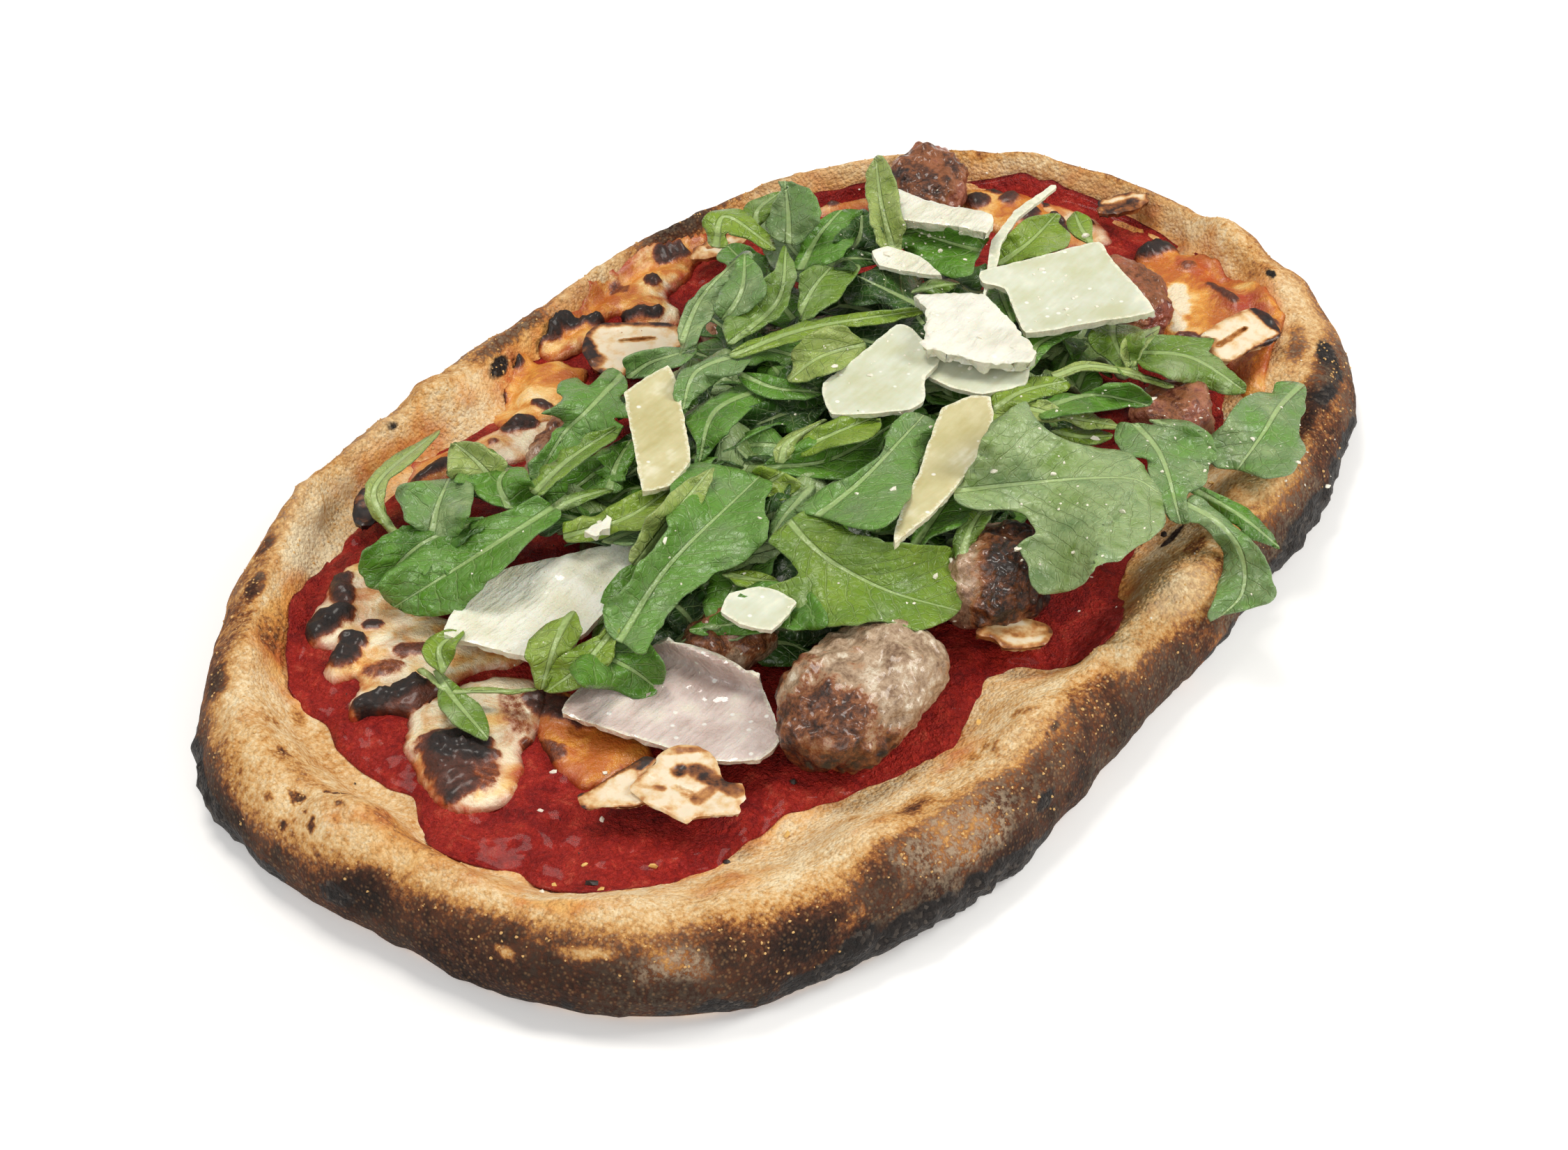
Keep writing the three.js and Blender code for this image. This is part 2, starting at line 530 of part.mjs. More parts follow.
addMesh("crust", crust(0), DOUGH);
below.push(crust(GAP));
lay("tomato_sauce", sauce(0), sauce(GAP), SAUCE);
CHEESE.forEach((row, i) => lay(row[0], cheese(row, i, 0), cheese(row, i, GAP), MELTED));
SAUSAGE.forEach((row, i) => lay(row[0], sausage(row, i, 0), sausage(row, i, GAP), MEAT));
GARLIC.forEach((row) => lay(row[0], slice(row, 0), slice(row, GAP), GARLIC_MAT));
SHAVINGS.forEach((row) => lay(row[0], shaving(row, 0), shaving(row, GAP), HARD_CHEESE));
LOOSE.forEach(([name, ...rows]) => {
  const fused = (grow) => rows.map((row) => leaf(row, grow)).reduce((a, b) => a.add(b));
  lay(name, fused(0), fused(GAP), ROCKET);
});
const core = heapCore();
const grownLeaf = (row) => {
  const blade = leaf(row);
  return core.intersect(blade).volume() > 3 ? blade : blade.add(stem(row));
};
const heap = LEAVES.reduce((mass, row) => mass.add(grownLeaf(row)), core);
lay("rocket_heap", heap, core, ROCKET);

export default group;
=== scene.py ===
"""Looks of a baked oval pinsa: tomato sauce, melted cheese, sausage, garlic, rocket and shaved hard cheese."""
import functools
import math

import bpy
import numpy as np
from mathutils import Matrix, Vector
from mathutils.bvhtree import BVHTree
from mathutils.geometry import delaunay_2d_cdt


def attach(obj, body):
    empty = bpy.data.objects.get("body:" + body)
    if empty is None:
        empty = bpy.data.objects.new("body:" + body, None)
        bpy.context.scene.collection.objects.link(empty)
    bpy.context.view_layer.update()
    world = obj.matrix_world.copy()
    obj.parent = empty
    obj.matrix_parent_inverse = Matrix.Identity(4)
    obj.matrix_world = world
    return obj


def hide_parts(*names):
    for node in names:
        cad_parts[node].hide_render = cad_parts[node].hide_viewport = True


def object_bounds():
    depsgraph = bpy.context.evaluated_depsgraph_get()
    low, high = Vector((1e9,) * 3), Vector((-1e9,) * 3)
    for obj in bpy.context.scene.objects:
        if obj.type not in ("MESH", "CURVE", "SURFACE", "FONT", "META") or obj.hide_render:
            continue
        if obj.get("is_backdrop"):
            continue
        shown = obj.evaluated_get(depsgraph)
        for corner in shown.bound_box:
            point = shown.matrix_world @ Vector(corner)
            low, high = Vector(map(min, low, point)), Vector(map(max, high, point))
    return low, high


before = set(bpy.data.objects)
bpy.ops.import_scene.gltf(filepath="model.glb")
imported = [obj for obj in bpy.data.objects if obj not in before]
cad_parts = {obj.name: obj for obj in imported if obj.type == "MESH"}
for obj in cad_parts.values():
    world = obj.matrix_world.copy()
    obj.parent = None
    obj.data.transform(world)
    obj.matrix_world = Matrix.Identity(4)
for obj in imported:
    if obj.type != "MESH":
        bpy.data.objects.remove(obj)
cad_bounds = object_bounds()

# Shapes are worked out in millimetres and turned into metres when a mesh gets its points
MM = 0.001
TURN = 2 * math.pi

# The crust's outline and section, as in the solids
HALF_LENGTH, HALF_WIDTH, SQUARENESS = 160.0, 101.45, 2.65
CENTRE = np.array([-8.19, -3.59])
WIDEST_HEIGHT, CREST_HEIGHT, FLOOR_HEIGHT = 9.0, 21.5, 11.6
SAUCE_DEPTH = 2.6
# How far out the sauce reaches, as a share of the outline, every 15 degrees from +X
SAUCE_REACH = np.array([
    0.94, 0.945, 0.935, 0.93, 0.94, 0.885, 0.83, 0.87, 0.9, 0.86, 0.86, 0.835,
    0.86, 0.83, 0.73, 0.71, 0.71, 0.68, 0.8, 0.77, 0.71, 0.71, 0.76, 0.89])
# How far the sauce's own edge lies outside that, in mm, every 3.75 degrees, where the photograph shows it
EDGE_SHIFT = np.zeros(96)
EDGE_SHIFT[24:79] = [
    -2.7, -2.5, -4.5, -4, -1.7, -3, -5.2, -6, -6.8, -5, -3, -1, 0.2, 1.3, 1.6, 1.4, -0.5, -2.6, -5.7, -4.1,
    -4.1, -5.5, -7.9, -2.7, 1.6, -0.9, -2.6, 3.3, 4.5, 0.1, 1.3, 3.0, -3.9, -8.7, -6.6, -4.3, -2.9, -1.8, -1.0,
    0.5, 1.3, -0.9, -1.4, -1.7, -3.1, -3.6, -5.1, -2, 5, 7, 6, 4, 1.5, -1.0, -0.7]
# Bubbles that swell the rim: x, y, radius, rise
BUBBLES = [
    (112, -60, 16, 3.5), (131, -47, 15, 4.5), (146, -28, 13, 4), (-20, 88, 13, 3), (-72, 92, 16, 3),
    (-122, 70, 16, 2.5), (-146, 12, 14, 2.5), (-134, -48, 18, 3), (-92, -78, 17, 2.5), (-40, -88, 18, 2),
    (18, -91, 16, 2), (62, -84, 18, 2.5), (150, 30, 12, 2), (105, 84, 14, 2)]

# The height of the plan in which outlines were read from the photograph
PLAN_HEIGHT = 30.0
# The salad heap's middle and half its length and width
HEAP_X, HEAP_Y, HEAP_HALF_LENGTH, HEAP_HALF_WIDTH = 17.0, 0.0, 88.0, 50.0
# Side veins of a leaf: half their distance, their lean to the tip, and how far the left ones lie past the right
VEIN_GAP, VEIN_LEAN, VEIN_SHIFT = 2.8, 0.85, 2.7

# The camera of the photograph, in millimetres: its place, the directions of its picture, its lens and sensor
EYE = np.array([-575.3, -395.3, 559.3])
RIGHT, UP, BACK = (0.5709, -0.821, 0.0), (0.5167, 0.3593, 0.7771), (-0.638, -0.4437, 0.6293)
LENS, SENSOR = 86.74, 36


# Even and uneven numbers

def smooth(a, b, x):
    """0 up to a, 1 from b, and a soft rise between."""
    t = np.clip((x - a) / (b - a), 0, 1)
    return t * t * (3 - 2 * t)


def steady(ix, iy, iz, seed):
    """A steady number from -1 to 1 for each whole place."""
    h = ix.astype(np.uint64) * np.uint64(73856093) ^ iy.astype(np.uint64) * np.uint64(19349663)
    h = h ^ iz.astype(np.uint64) * np.uint64(83492791) ^ np.uint64(seed * 2654435761 + 12345)
    low = np.uint64(0xFFFFFFFF)
    h = ((h & low) ^ ((h & low) >> np.uint64(15))) * np.uint64(2246822519) & low
    h = (h ^ (h >> np.uint64(13))) * np.uint64(3266489917) & low
    return (h ^ (h >> np.uint64(16))).astype(float) / 2147483647.5 - 1


def swells(points, size, seed, layers=3):
    """An uneven field from about -1 to 1, its largest swells about size mm across."""
    flat = points.reshape(-1, points.shape[-1])
    if flat.shape[1] == 2:
        flat = np.column_stack([flat, np.zeros(len(flat))])
    total, strength, weight = np.zeros(len(flat)), 1.0, 0.0
    for layer in range(layers):
        place = flat / size + seed * 7.31 + layer * 3.7
        cell = np.floor(place)
        part = place - cell
        part = part * part * (3 - 2 * part)
        cell = cell.astype(np.int64)
        value = np.zeros(len(flat))
        for corner in np.ndindex(2, 2, 2):
            share = np.prod([part[:, k] if corner[k] else 1 - part[:, k] for k in range(3)], axis=0)
            value += share * steady(*(cell[:, k] + corner[k] for k in range(3)), seed + layer)
        total += strength * value
        weight += strength
        strength, size = strength * 0.5, size * 0.5
    return (1.6 * total / weight).reshape(points.shape[:-1])


def grains(points, size, seed):
    """How far each point is from the nearest two grain middles, in grain sizes."""
    flat = points.reshape(-1, 3) / size
    cell = np.floor(flat).astype(np.int64)
    near = np.full((2, len(flat)), 9.0)
    for step in np.ndindex(3, 3, 3):
        there = cell + np.array(step) - 1
        middle = there + 0.5 + 0.45 * np.column_stack([steady(*there.T, seed + k) for k in range(3)])
        gap = np.linalg.norm(flat - middle, axis=1)
        near[1] = np.minimum(near[1], np.maximum(near[0], gap))
        near[0] = np.minimum(near[0], gap)
    return near.reshape((2,) + points.shape[:-1])


def dome(gap):
    """1 in the middle, falling softly to 0 at a gap of 1."""
    return (1 - np.clip(gap, 0, 1) ** 2) ** 2


def raised(points, level):
    """Points in the plan at one level. A level of its own gives a piece its own unevenness from the swells."""
    return np.column_stack([points, np.full(len(points), float(level))])


def frayed(outline, place, strength, size, seed, layers=3):
    """An outline pushed unevenly to and fro."""
    return outline + strength * np.column_stack([swells(place, size, seed + k, layers) for k in (0, 1)])


def curve_at(a, b, c, d, u):
    """The point at share u between b and c on a smooth curve through four points."""
    return 0.5 * (2 * b + (c - a) * u + (2 * a - 5 * b + 4 * c - d) * u ** 2 + (3 * b - a - 3 * c + d) * u ** 3)


def turned(u, v, degrees, x=0, y=0):
    """Lengths and widths turned in the plan, about a place."""
    c, s = math.cos(math.radians(degrees)), math.sin(math.radians(degrees))
    return x + u * c - v * s, y + u * s + v * c


# The crust's and sauce's surface: the angle t and the distance r are about CENTRE

def crust_radius(t):
    """The outline: a squarish oval, broader at the far right, with shallow lobes."""
    c = np.abs(np.cos(t) / HALF_LENGTH) ** SQUARENESS
    s = np.abs(np.sin(t) / HALF_WIDTH) ** SQUARENESS
    drift = 1 + 0.027 * np.cos(t) + 0.025 * np.sin(t)
    lobes = 1 + 0.022 * np.cos(3 * t) - 0.014 * np.sin(3 * t)
    return (c + s) ** (-1 / SQUARENESS) * drift * lobes + 0.6 * np.sin(9 * t + 1) + 0.4 * np.sin(14 * t)


def round_table(t, values):
    """The value at an angle between those of an even round of them that starts at +X."""
    place = (t / TURN) % 1 * len(values)
    i = np.floor(place).astype(int)
    a, b = values[i % len(values)], values[(i + 1) % len(values)]
    return a + (b - a) * smooth(0, 1, place - i)


def sauce_radius(t):
    """Where the rim's slope meets the sauce, as in the solids."""
    return crust_radius(t) * round_table(t, SAUCE_REACH)


def crest_radius(t):
    """Where the rim is highest."""
    return crust_radius(t) - np.minimum(11, 0.55 * (crust_radius(t) - sauce_radius(t)))


def crust_top(t, r):
    """Height of the crust from its middle to its crest."""
    edge = sauce_radius(t)
    crest_height = CREST_HEIGHT + 1.2 * np.cos(t - math.pi) + 0.7 * np.sin(4 * t)
    slope = FLOOR_HEIGHT + (crest_height - FLOOR_HEIGHT) * smooth(edge - 3, crest_radius(t), r)
    x, y = CENTRE[0] + r * np.cos(t), CENTRE[1] + r * np.sin(t)
    rise = sum(h * dome(np.hypot(x - bx, y - by) / br) for bx, by, br, h in BUBBLES)
    return slope + rise * smooth(edge - 14, edge, r)


def sauce_edge(t):
    """The sauce's own wavering edge."""
    around = 90 * np.stack([np.cos(t), np.sin(t), 0 * t], -1)
    edge = sauce_radius(t) + round_table(t, EDGE_SHIFT)
    return edge + 0.8 * swells(around, 12, 5, 2) + 0.6 * swells(around, 4, 6, 2)


def ground(x, y):
    """Height of the sauce, or of the crust where there is none."""
    t, r = np.arctan2(y - CENTRE[1], x - CENTRE[0]), np.hypot(x - CENTRE[0], y - CENTRE[1])
    return crust_top(t, r) + SAUCE_DEPTH * smooth(0, 7, sauce_edge(t) - r)


def on_ground(x, y, lift):
    """The point that lies a little above the sauce."""
    return np.array([x, y, float(ground(np.array([x]), np.array([y]))[0]) + lift])


def ring(t, r, z):
    """Points round the middle of the crust."""
    return np.stack([CENTRE[0] + r * np.cos(t), CENTRE[1] + r * np.sin(t), z], -1)


# Meshes

def add(operator, name, **settings):
    """A new primitive, the only selected object."""
    bpy.ops.object.select_all(action="DESELECT")
    operator(**settings)
    made = bpy.context.object
    made.name = made.data.name = name
    return made


def mesh_object(name, points, faces):
    """A piece from points in millimetres and its faces."""
    mesh = bpy.data.meshes.new(name)
    mesh.from_pydata((points * MM).tolist(), [], faces)
    obj = bpy.data.objects.new(name, mesh)
    bpy.context.scene.collection.objects.link(obj)
    return obj


def choose(obj):
    """Makes a piece the only selected one, and the active one."""
    bpy.ops.object.select_all(action="DESELECT")
    bpy.context.view_layer.objects.active = obj
    obj.select_set(True)


def points_of(obj):
    """A mesh's points as they are kept, in metres or on a primitive of radius 1."""
    flat = np.empty(len(obj.data.vertices) * 3, np.float32)
    obj.data.vertices.foreach_get("co", flat)
    return flat.reshape(-1, 3).astype(float)


def set_points(obj, points):
    """Gives a mesh its points, in millimetres."""
    obj.data.vertices.foreach_set("co", (points * MM).astype(np.float32).ravel())
    obj.data.update()


def note(obj, name, values):
    """Keeps a number or a triple for each point, for the material to read."""
    kind, field = ("FLOAT", "value") if np.ndim(values) == 1 else ("FLOAT_VECTOR", "vector")
    layer = obj.data.attributes.new(name, kind, "POINT")
    layer.data.foreach_set(field, np.ascontiguousarray(values, np.float32).ravel())


def apply(obj, kind, **settings):
    """Adds a modifier and applies it."""
    choose(obj)
    modifier = obj.modifiers.new(kind, kind)
    for key, value in settings.items():
        setattr(modifier, key, value)
    bpy.ops.object.modifier_apply(modifier=modifier.name)


def dress(obj, material, slot, *nodes):
    """Smooth shading, a material and the solids it stands for, which it hides; slot is not used."""
    choose(obj)
    bpy.ops.object.shade_smooth()
    obj.data.materials.clear()
    obj.data.materials.append(material)
    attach(obj, "root")
    if nodes:
        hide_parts(*nodes)
    return obj


def wrapped(name, rings):
    """A closed skin from a sphere primitive, whose rings are laid from the top pole down to the bottom one.

    Gives the piece, and the ring and the place on it of each of its points, the poles' rings counted.
    """
    count, around = rings.shape[:2]
    obj = add(bpy.ops.mesh.primitive_uv_sphere_add, name, segments=around, ring_count=count + 1, radius=1)
    at = points_of(obj)
    row = np.rint(np.arccos(np.clip(at[:, 2], -1, 1)) / math.pi * (count + 1)).astype(int)
    column = np.rint(np.arctan2(at[:, 1], at[:, 0]) / TURN * around).astype(int) % around
    full = np.concatenate([np.repeat(rings[:1].mean(1)[:, None], around, 1), rings,
                           np.repeat(rings[-1:].mean(1)[:, None], around, 1)])
    set_points(obj, full[row, column])
    return obj, row, column


def facing(rings):
    """Outward directions of a closed round of rings laid from the top down."""
    down = np.gradient(rings, axis=0)
    sideways = np.roll(rings, -1, 1) - np.roll(rings, 1, 1)
    out = np.cross(down, sideways)
    return out / np.maximum(np.linalg.norm(out, axis=-1, keepdims=True), 1e-9)


def through(knots, counts):
    """Rings on a smooth curve through the given ones, with counts rings on each stretch."""
    padded = np.concatenate([2 * knots[:1] - knots[1:2], knots, 2 * knots[-1:] - knots[-2:-1]])
    rings = []
    for k, count in enumerate(counts):
        rings += [curve_at(*padded[k:k + 4], u) for u in np.arange(count) / count]
    return np.array(rings + [knots[-1]])


# Materials

# The range that a noise mostly keeps to, and what a mix of two colours needs
NOISE = {1: 0.3, 2: 0.7}
COLOURS = {"data_type": "RGBA", "out": 2}


def marks(size):
    """The scale of a pattern whose marks are size mm across."""
    return 1000 / size


def linear(colour):
    """An sRGB hex colour as linear light."""
    parts = [int(colour[i:i + 2], 16) / 255 for i in (1, 3, 5)]
    return tuple(c / 12.92 if c <= 0.04045 else ((c + 0.055) / 1.055) ** 2.4 for c in parts) + (1.0,)


def node(tree, kind, inputs=None, out=0, **settings):
    """One node. An input may be a number, a hex colour or another node's socket. Gives the socket to read."""
    made = tree.nodes.new("ShaderNode" + kind)
    for key, value in settings.items():
        if key == "stops":
            ramp = made.color_ramp
            while len(ramp.elements) < len(value):
                ramp.elements.new(0.5)
            for element, (place, colour) in zip(ramp.elements, value):
                element.position, element.color = place, linear(colour)
        else:
            setattr(made, key, value)
    for key, value in (inputs or {}).items():
        if isinstance(value, bpy.types.NodeSocket):
            tree.links.new(value, made.inputs[key])
        else:
            made.inputs[key].default_value = linear(value) if isinstance(value, str) else value
    return made.outputs[out]


def surface(name, **fixed):
    """A material with fixed settings on its shader's own sockets: the material, its node maker and its wire."""
    material = bpy.data.materials.new(name)
    material.use_nodes = True
    tree = material.node_tree
    shader = tree.nodes["Principled BSDF"]
    for key, value in fixed.items():
        shader.inputs[key.replace("_", " ")].default_value = value
    return (material, functools.partial(node, tree),
            lambda key, socket: tree.links.new(socket, shader.inputs[key]))


def baked_dough():
    """Baked dough, stretched by hand on semolina: matt and grainy, cream to nearly black, with grey flour."""
    material, n, wire = surface("baked_dough", IOR=1.45, Specular_IOR_Level=0.3)
    where = n("TexCoord", out=3)
    toast, char, flour, oil = (
        n("Attribute", attribute_name=kept, out=2) for kept in ("toast", "char", "flour", "oil"))
    # Semolina grit is about 0.6 mm across and shows at 0.9 mm
    grit = n("TexVoronoi", {"Vector": where, "Scale": marks(0.9), "Randomness": 1.0})
    tint = n("TexVoronoi", {"Vector": where, "Scale": marks(0.9), "Randomness": 1.0}, out=1)
    shade = n("SeparateColor", {"Color": tint})
    specks = n("TexNoise", {"Vector": where, "Scale": marks(1.5), "Detail": 3.0, "Roughness": 0.7})
    patches = n("TexNoise", {"Vector": where, "Scale": marks(9), "Detail": 4.0, "Roughness": 0.6})
    drift = n("MapRange", {0: patches, **NOISE, 3: -0.09, 4: 0.09})
    fine = n("MapRange", {0: specks, **NOISE, 3: -0.17, 4: 0.17})
    depth = n("Math", {0: toast, 1: drift}, operation="ADD")
    depth = n("Math", {0: depth, 1: fine}, operation="ADD")
    baked = n("ValToRGB", {0: depth}, stops=[
        (0.0, "#efdab2"), (0.2, "#deb780"), (0.36, "#c68e4c"), (0.5, "#8c542b"), (0.62, "#57321f"),
        (0.8, "#351f15"), (1.0, "#1c120e")])
    # Golden grains stand out on the darker crust, and pale ones on the light dough
    gold = n("MapRange", {0: shade, **NOISE})
    near = n("MapRange", {0: grit, 1: 0.18, 2: 0.5, 3: 1.0, 4: 0.0})
    gold = n("Math", {0: gold, 1: near}, operation="MULTIPLY")
    gold = n("Math", {0: gold, 1: 0.52}, operation="MULTIPLY")
    pale = n("ValToRGB", {0: toast}, stops=[
        (0.0, "#f8ecd2"), (0.3, "#e9cda0"), (0.6, "#a97f54"), (0.9, "#7a5a3e")])
    baked = n("Mix", {0: gold, 6: baked, 7: pale}, **COLOURS)
    # Oil from the cheese stains the dough beside the sauce golden and orange
    soaked = n("ValToRGB", {0: patches}, stops=[(0.32, "#ecb768"), (0.5, "#df9444"), (0.66, "#c8652f")])
    oily = n("Math", {0: oil, 1: drift}, operation="ADD", use_clamp=True)
    showing = n("MapRange", {0: depth, 1: 0.32, 2: 0.6, 3: 0.9, 4: 0.1})
    oily = n("Math", {0: oily, 1: showing}, operation="MULTIPLY")
    baked = n("Mix", {0: oily, 6: baked, 7: soaked}, **COLOURS)
    # Flour lies grey and broken up on the baked skin
    dusty = n("MapRange", {0: specks, 1: 0.42, 2: 0.6})
    dusty = n("Math", {0: dusty, 1: flour}, operation="MULTIPLY")
    dusty = n("Math", {0: dusty, 1: 0.68}, operation="MULTIPLY", use_clamp=True)
    baked = n("Mix", {0: dusty, 6: baked, 7: "#bda588"}, **COLOURS)
    burnt = n("Math", {0: char, 1: fine}, operation="ADD", use_clamp=True)
    burnt = n("MapRange", {0: burnt, 1: 0.25, 2: 0.7})
    ash = n("ValToRGB", {0: shade}, stops=[(0.0, "#15110f"), (0.75, "#221b18"), (1.0, "#4c443d")])
    baked = n("Mix", {0: burnt, 6: baked, 7: ash}, **COLOURS)
    wire("Base Color", baked)
    rough = n("MapRange", {0: burnt, 1: 0.0, 2: 1.0, 3: 0.82, 4: 0.55})
    rough = n("MapRange", {0: oily, 1: 0.0, 2: 1.0, 3: rough, 4: 0.5})
    wire("Roughness", rough)
    height = n("Math", {0: grit, 1: 0.5}, operation="MULTIPLY")
    height = n("Math", {0: specks, 1: height}, operation="SUBTRACT")
    wire("Normal", n("Bump", {"Strength": 1.0, "Distance": 0.0009, "Height": height}))
    return material


def tomato_sauce():
    """Crushed tomato, thickened in the oven: deep red, wet and pulpy, with a few dark herb specks."""
    material, n, wire = surface(
        "tomato_sauce", IOR=1.36, Specular_IOR_Level=0.4, Coat_Weight=0.1, Coat_Roughness=0.1)
    where = n("TexCoord", out=3)
    cloud = n("TexNoise", {
        "Vector": where, "Scale": marks(8), "Detail": 5.0, "Roughness": 0.6, "Distortion": 0.8})
    pulp = n("TexNoise", {
        "Vector": where, "Scale": marks(1.9), "Detail": 4.0, "Roughness": 0.65, "Distortion": 0.5})
    mix = n("Math", {0: cloud, 1: 0.6}, operation="MULTIPLY")
    mix = n("Math", {0: pulp, 1: 0.4, 2: mix}, operation="MULTIPLY_ADD")
    red = n("ValToRGB", {0: mix}, stops=[
        (0.3, "#6c1213"), (0.44, "#a0221f"), (0.56, "#bd3127"), (0.7, "#d8604a")])
    wire("Base Color", red)
    wire("Roughness", n("MapRange", {0: pulp, 1: 0.35, 2: 0.65, 3: 0.55, 4: 0.25}))
    # Pulp of about 1 mm keeps the surface broken up
    fibre = n("TexNoise", {
        "Vector": where, "Scale": marks(1.0), "Detail": 3.0, "Roughness": 0.6, "Distortion": 0.8})
    height = n("Math", {0: fibre, 1: 0.8, 2: pulp}, operation="MULTIPLY_ADD")
    wire("Normal", n("Bump", {"Strength": 1.0, "Distance": 0.0026, "Height": height}))
    return material


def melted_cheese():
    """Mozzarella melted under a fierce top heat: cream, orange where oily, brown and black on its blisters."""
    material, n, wire = surface(
        "melted_cheese", IOR=1.45, Coat_Weight=0.3, Coat_Roughness=0.2,
        Subsurface_Weight=0.12, Subsurface_Scale=0.002)
    where = n("TexCoord", out=3)
    brown, thin, orange = (n("Attribute", attribute_name=kept, out=2) for kept in ("brown", "thin", "orange"))
    cloud = n("TexNoise", {
        "Vector": where, "Scale": marks(6), "Detail": 4.0, "Roughness": 0.6, "Distortion": 0.8})
    fine = n("TexNoise", {"Vector": where, "Scale": marks(1.4), "Detail": 3.0, "Roughness": 0.6})
    shift = n("MapRange", {0: cloud, **NOISE, 3: -0.3, 4: 0.3})
    oily = n("Math", {0: orange, 1: shift}, operation="ADD", use_clamp=True)
    base = n("ValToRGB", {0: oily}, stops=[
        (0.0, "#f2e3c2"), (0.35, "#f0c67e"), (0.65, "#df993f"), (1.0, "#c06c28")])
    sheer = n("Math", {0: thin, 1: shift}, operation="ADD", use_clamp=True)
    base = n("Mix", {0: sheer, 6: base, 7: "#a83a22"}, **COLOURS)
    seared = n("MapRange", {0: fine, **NOISE, 3: -0.12, 4: 0.12})
    seared = n("Math", {0: brown, 1: seared}, operation="ADD", use_clamp=True)
    skin = n("ValToRGB", {0: seared}, stops=[
        (0.0, "#dc9350"), (0.3, "#a8582a"), (0.55, "#5f2d1a"), (0.85, "#301d16"), (1.0, "#1c1412")])
    base = n("Mix", {0: n("MapRange", {0: seared, 1: 0.12, 2: 0.4}), 6: base, 7: skin}, **COLOURS)
    wire("Base Color", base)
    glazed = n("MapRange", {0: cloud, **NOISE, 3: 0.2, 4: 0.42})
    wire("Roughness", n("MapRange", {0: seared, 1: 0.4, 2: 0.8, 3: glazed, 4: 0.75}))
    wire("Normal", n("Bump", {"Strength": 0.8, "Distance": 0.0009, "Height": fine}))
    return material


def roast_sausage():
    """Coarse pork sausage roasted in lumps: grey-beige and greasy, browned and charred by the heat."""
    material, n, wire = surface("roast_sausage", IOR=1.45, Coat_Weight=0.5, Coat_Roughness=0.12)
    where = n("TexCoord", out=3)
    brown, red = (n("Attribute", attribute_name=kept, out=2) for kept in ("brown", "red"))
    # Minced to about 3 mm
    mince = n("TexVoronoi", {"Vector": where, "Scale": marks(3)}, out=1, feature="SMOOTH_F1")
    crumb = n("SeparateColor", {"Color": mince})
    fine = n("TexNoise", {"Vector": where, "Scale": marks(1.3), "Detail": 4.0, "Roughness": 0.65})
    cloud = n("TexNoise", {"Vector": where, "Scale": marks(5), "Detail": 4.0, "Roughness": 0.6})
    mix = n("Math", {0: fine, 1: 0.7}, operation="MULTIPLY")
    mix = n("Math", {0: crumb, 1: 0.3, 2: mix}, operation="MULTIPLY_ADD")
    raw = n("ValToRGB", {0: mix}, stops=[
        (0.3, "#77593f"), (0.42, "#a08468"), (0.55, "#bfa588"), (0.68, "#e4d8c0")])
    saucy = n("Mix", {0: 1.0, 6: raw, 7: "#c4573a"}, **COLOURS, blend_type="MULTIPLY")
    raw = n("Mix", {0: red, 6: raw, 7: saucy}, **COLOURS)
    shift = n("Math", {0: cloud, 1: fine}, operation="ADD")
    shift = n("MapRange", {0: shift, 1: 0.75, 2: 1.25, 3: -0.3, 4: 0.3})
    seared = n("Math", {0: brown, 1: shift}, operation="ADD", use_clamp=True)
    skin = n("ValToRGB", {0: seared}, stops=[
        (0.2, "#bd854e"), (0.45, "#93562c"), (0.7, "#5e331a"), (0.95, "#22140d")])
    base = n("Mix", {0: n("MapRange", {0: seared, 1: 0.2, 2: 0.5}), 6: raw, 7: skin}, **COLOURS)
    wire("Base Color", base)
    wire("Roughness", n("MapRange", {0: fine, **NOISE, 3: 0.28, 4: 0.6}))
    wire("Normal", n("Bump", {"Strength": 1.0, "Distance": 0.0012, "Height": mix}))
    return material


def toasted_garlic():
    """Raw garlic sliced and roasted: waxy cream, its thin edges caught brown and black."""
    material, n, wire = surface(
        "toasted_garlic", IOR=1.45, Coat_Weight=0.15, Subsurface_Weight=0.1, Subsurface_Scale=0.002)
    where = n("TexCoord", out=3)
    brown = n("Attribute", attribute_name="brown", out=2)
    cloud = n("TexNoise", {"Vector": where, "Scale": marks(3.5), "Detail": 4.0, "Roughness": 0.6})
    shift = n("MapRange", {0: cloud, **NOISE, 3: -0.25, 4: 0.25})
    seared = n("Math", {0: brown, 1: shift}, operation="ADD", use_clamp=True)
    base = n("ValToRGB", {0: seared}, stops=[
        (0.0, "#e6d6ba"), (0.22, "#dcbb8a"), (0.42, "#bd8349"), (0.62, "#8a5128"), (0.82, "#341c12"),
        (1.0, "#181110")])
    wire("Base Color", base)
    wire("Roughness", n("MapRange", {0: cloud, **NOISE, 3: 0.35, 4: 0.55}))
    wire("Normal", n("Bump", {"Strength": 0.3, "Distance": 0.0004, "Height": cloud}))
    return material


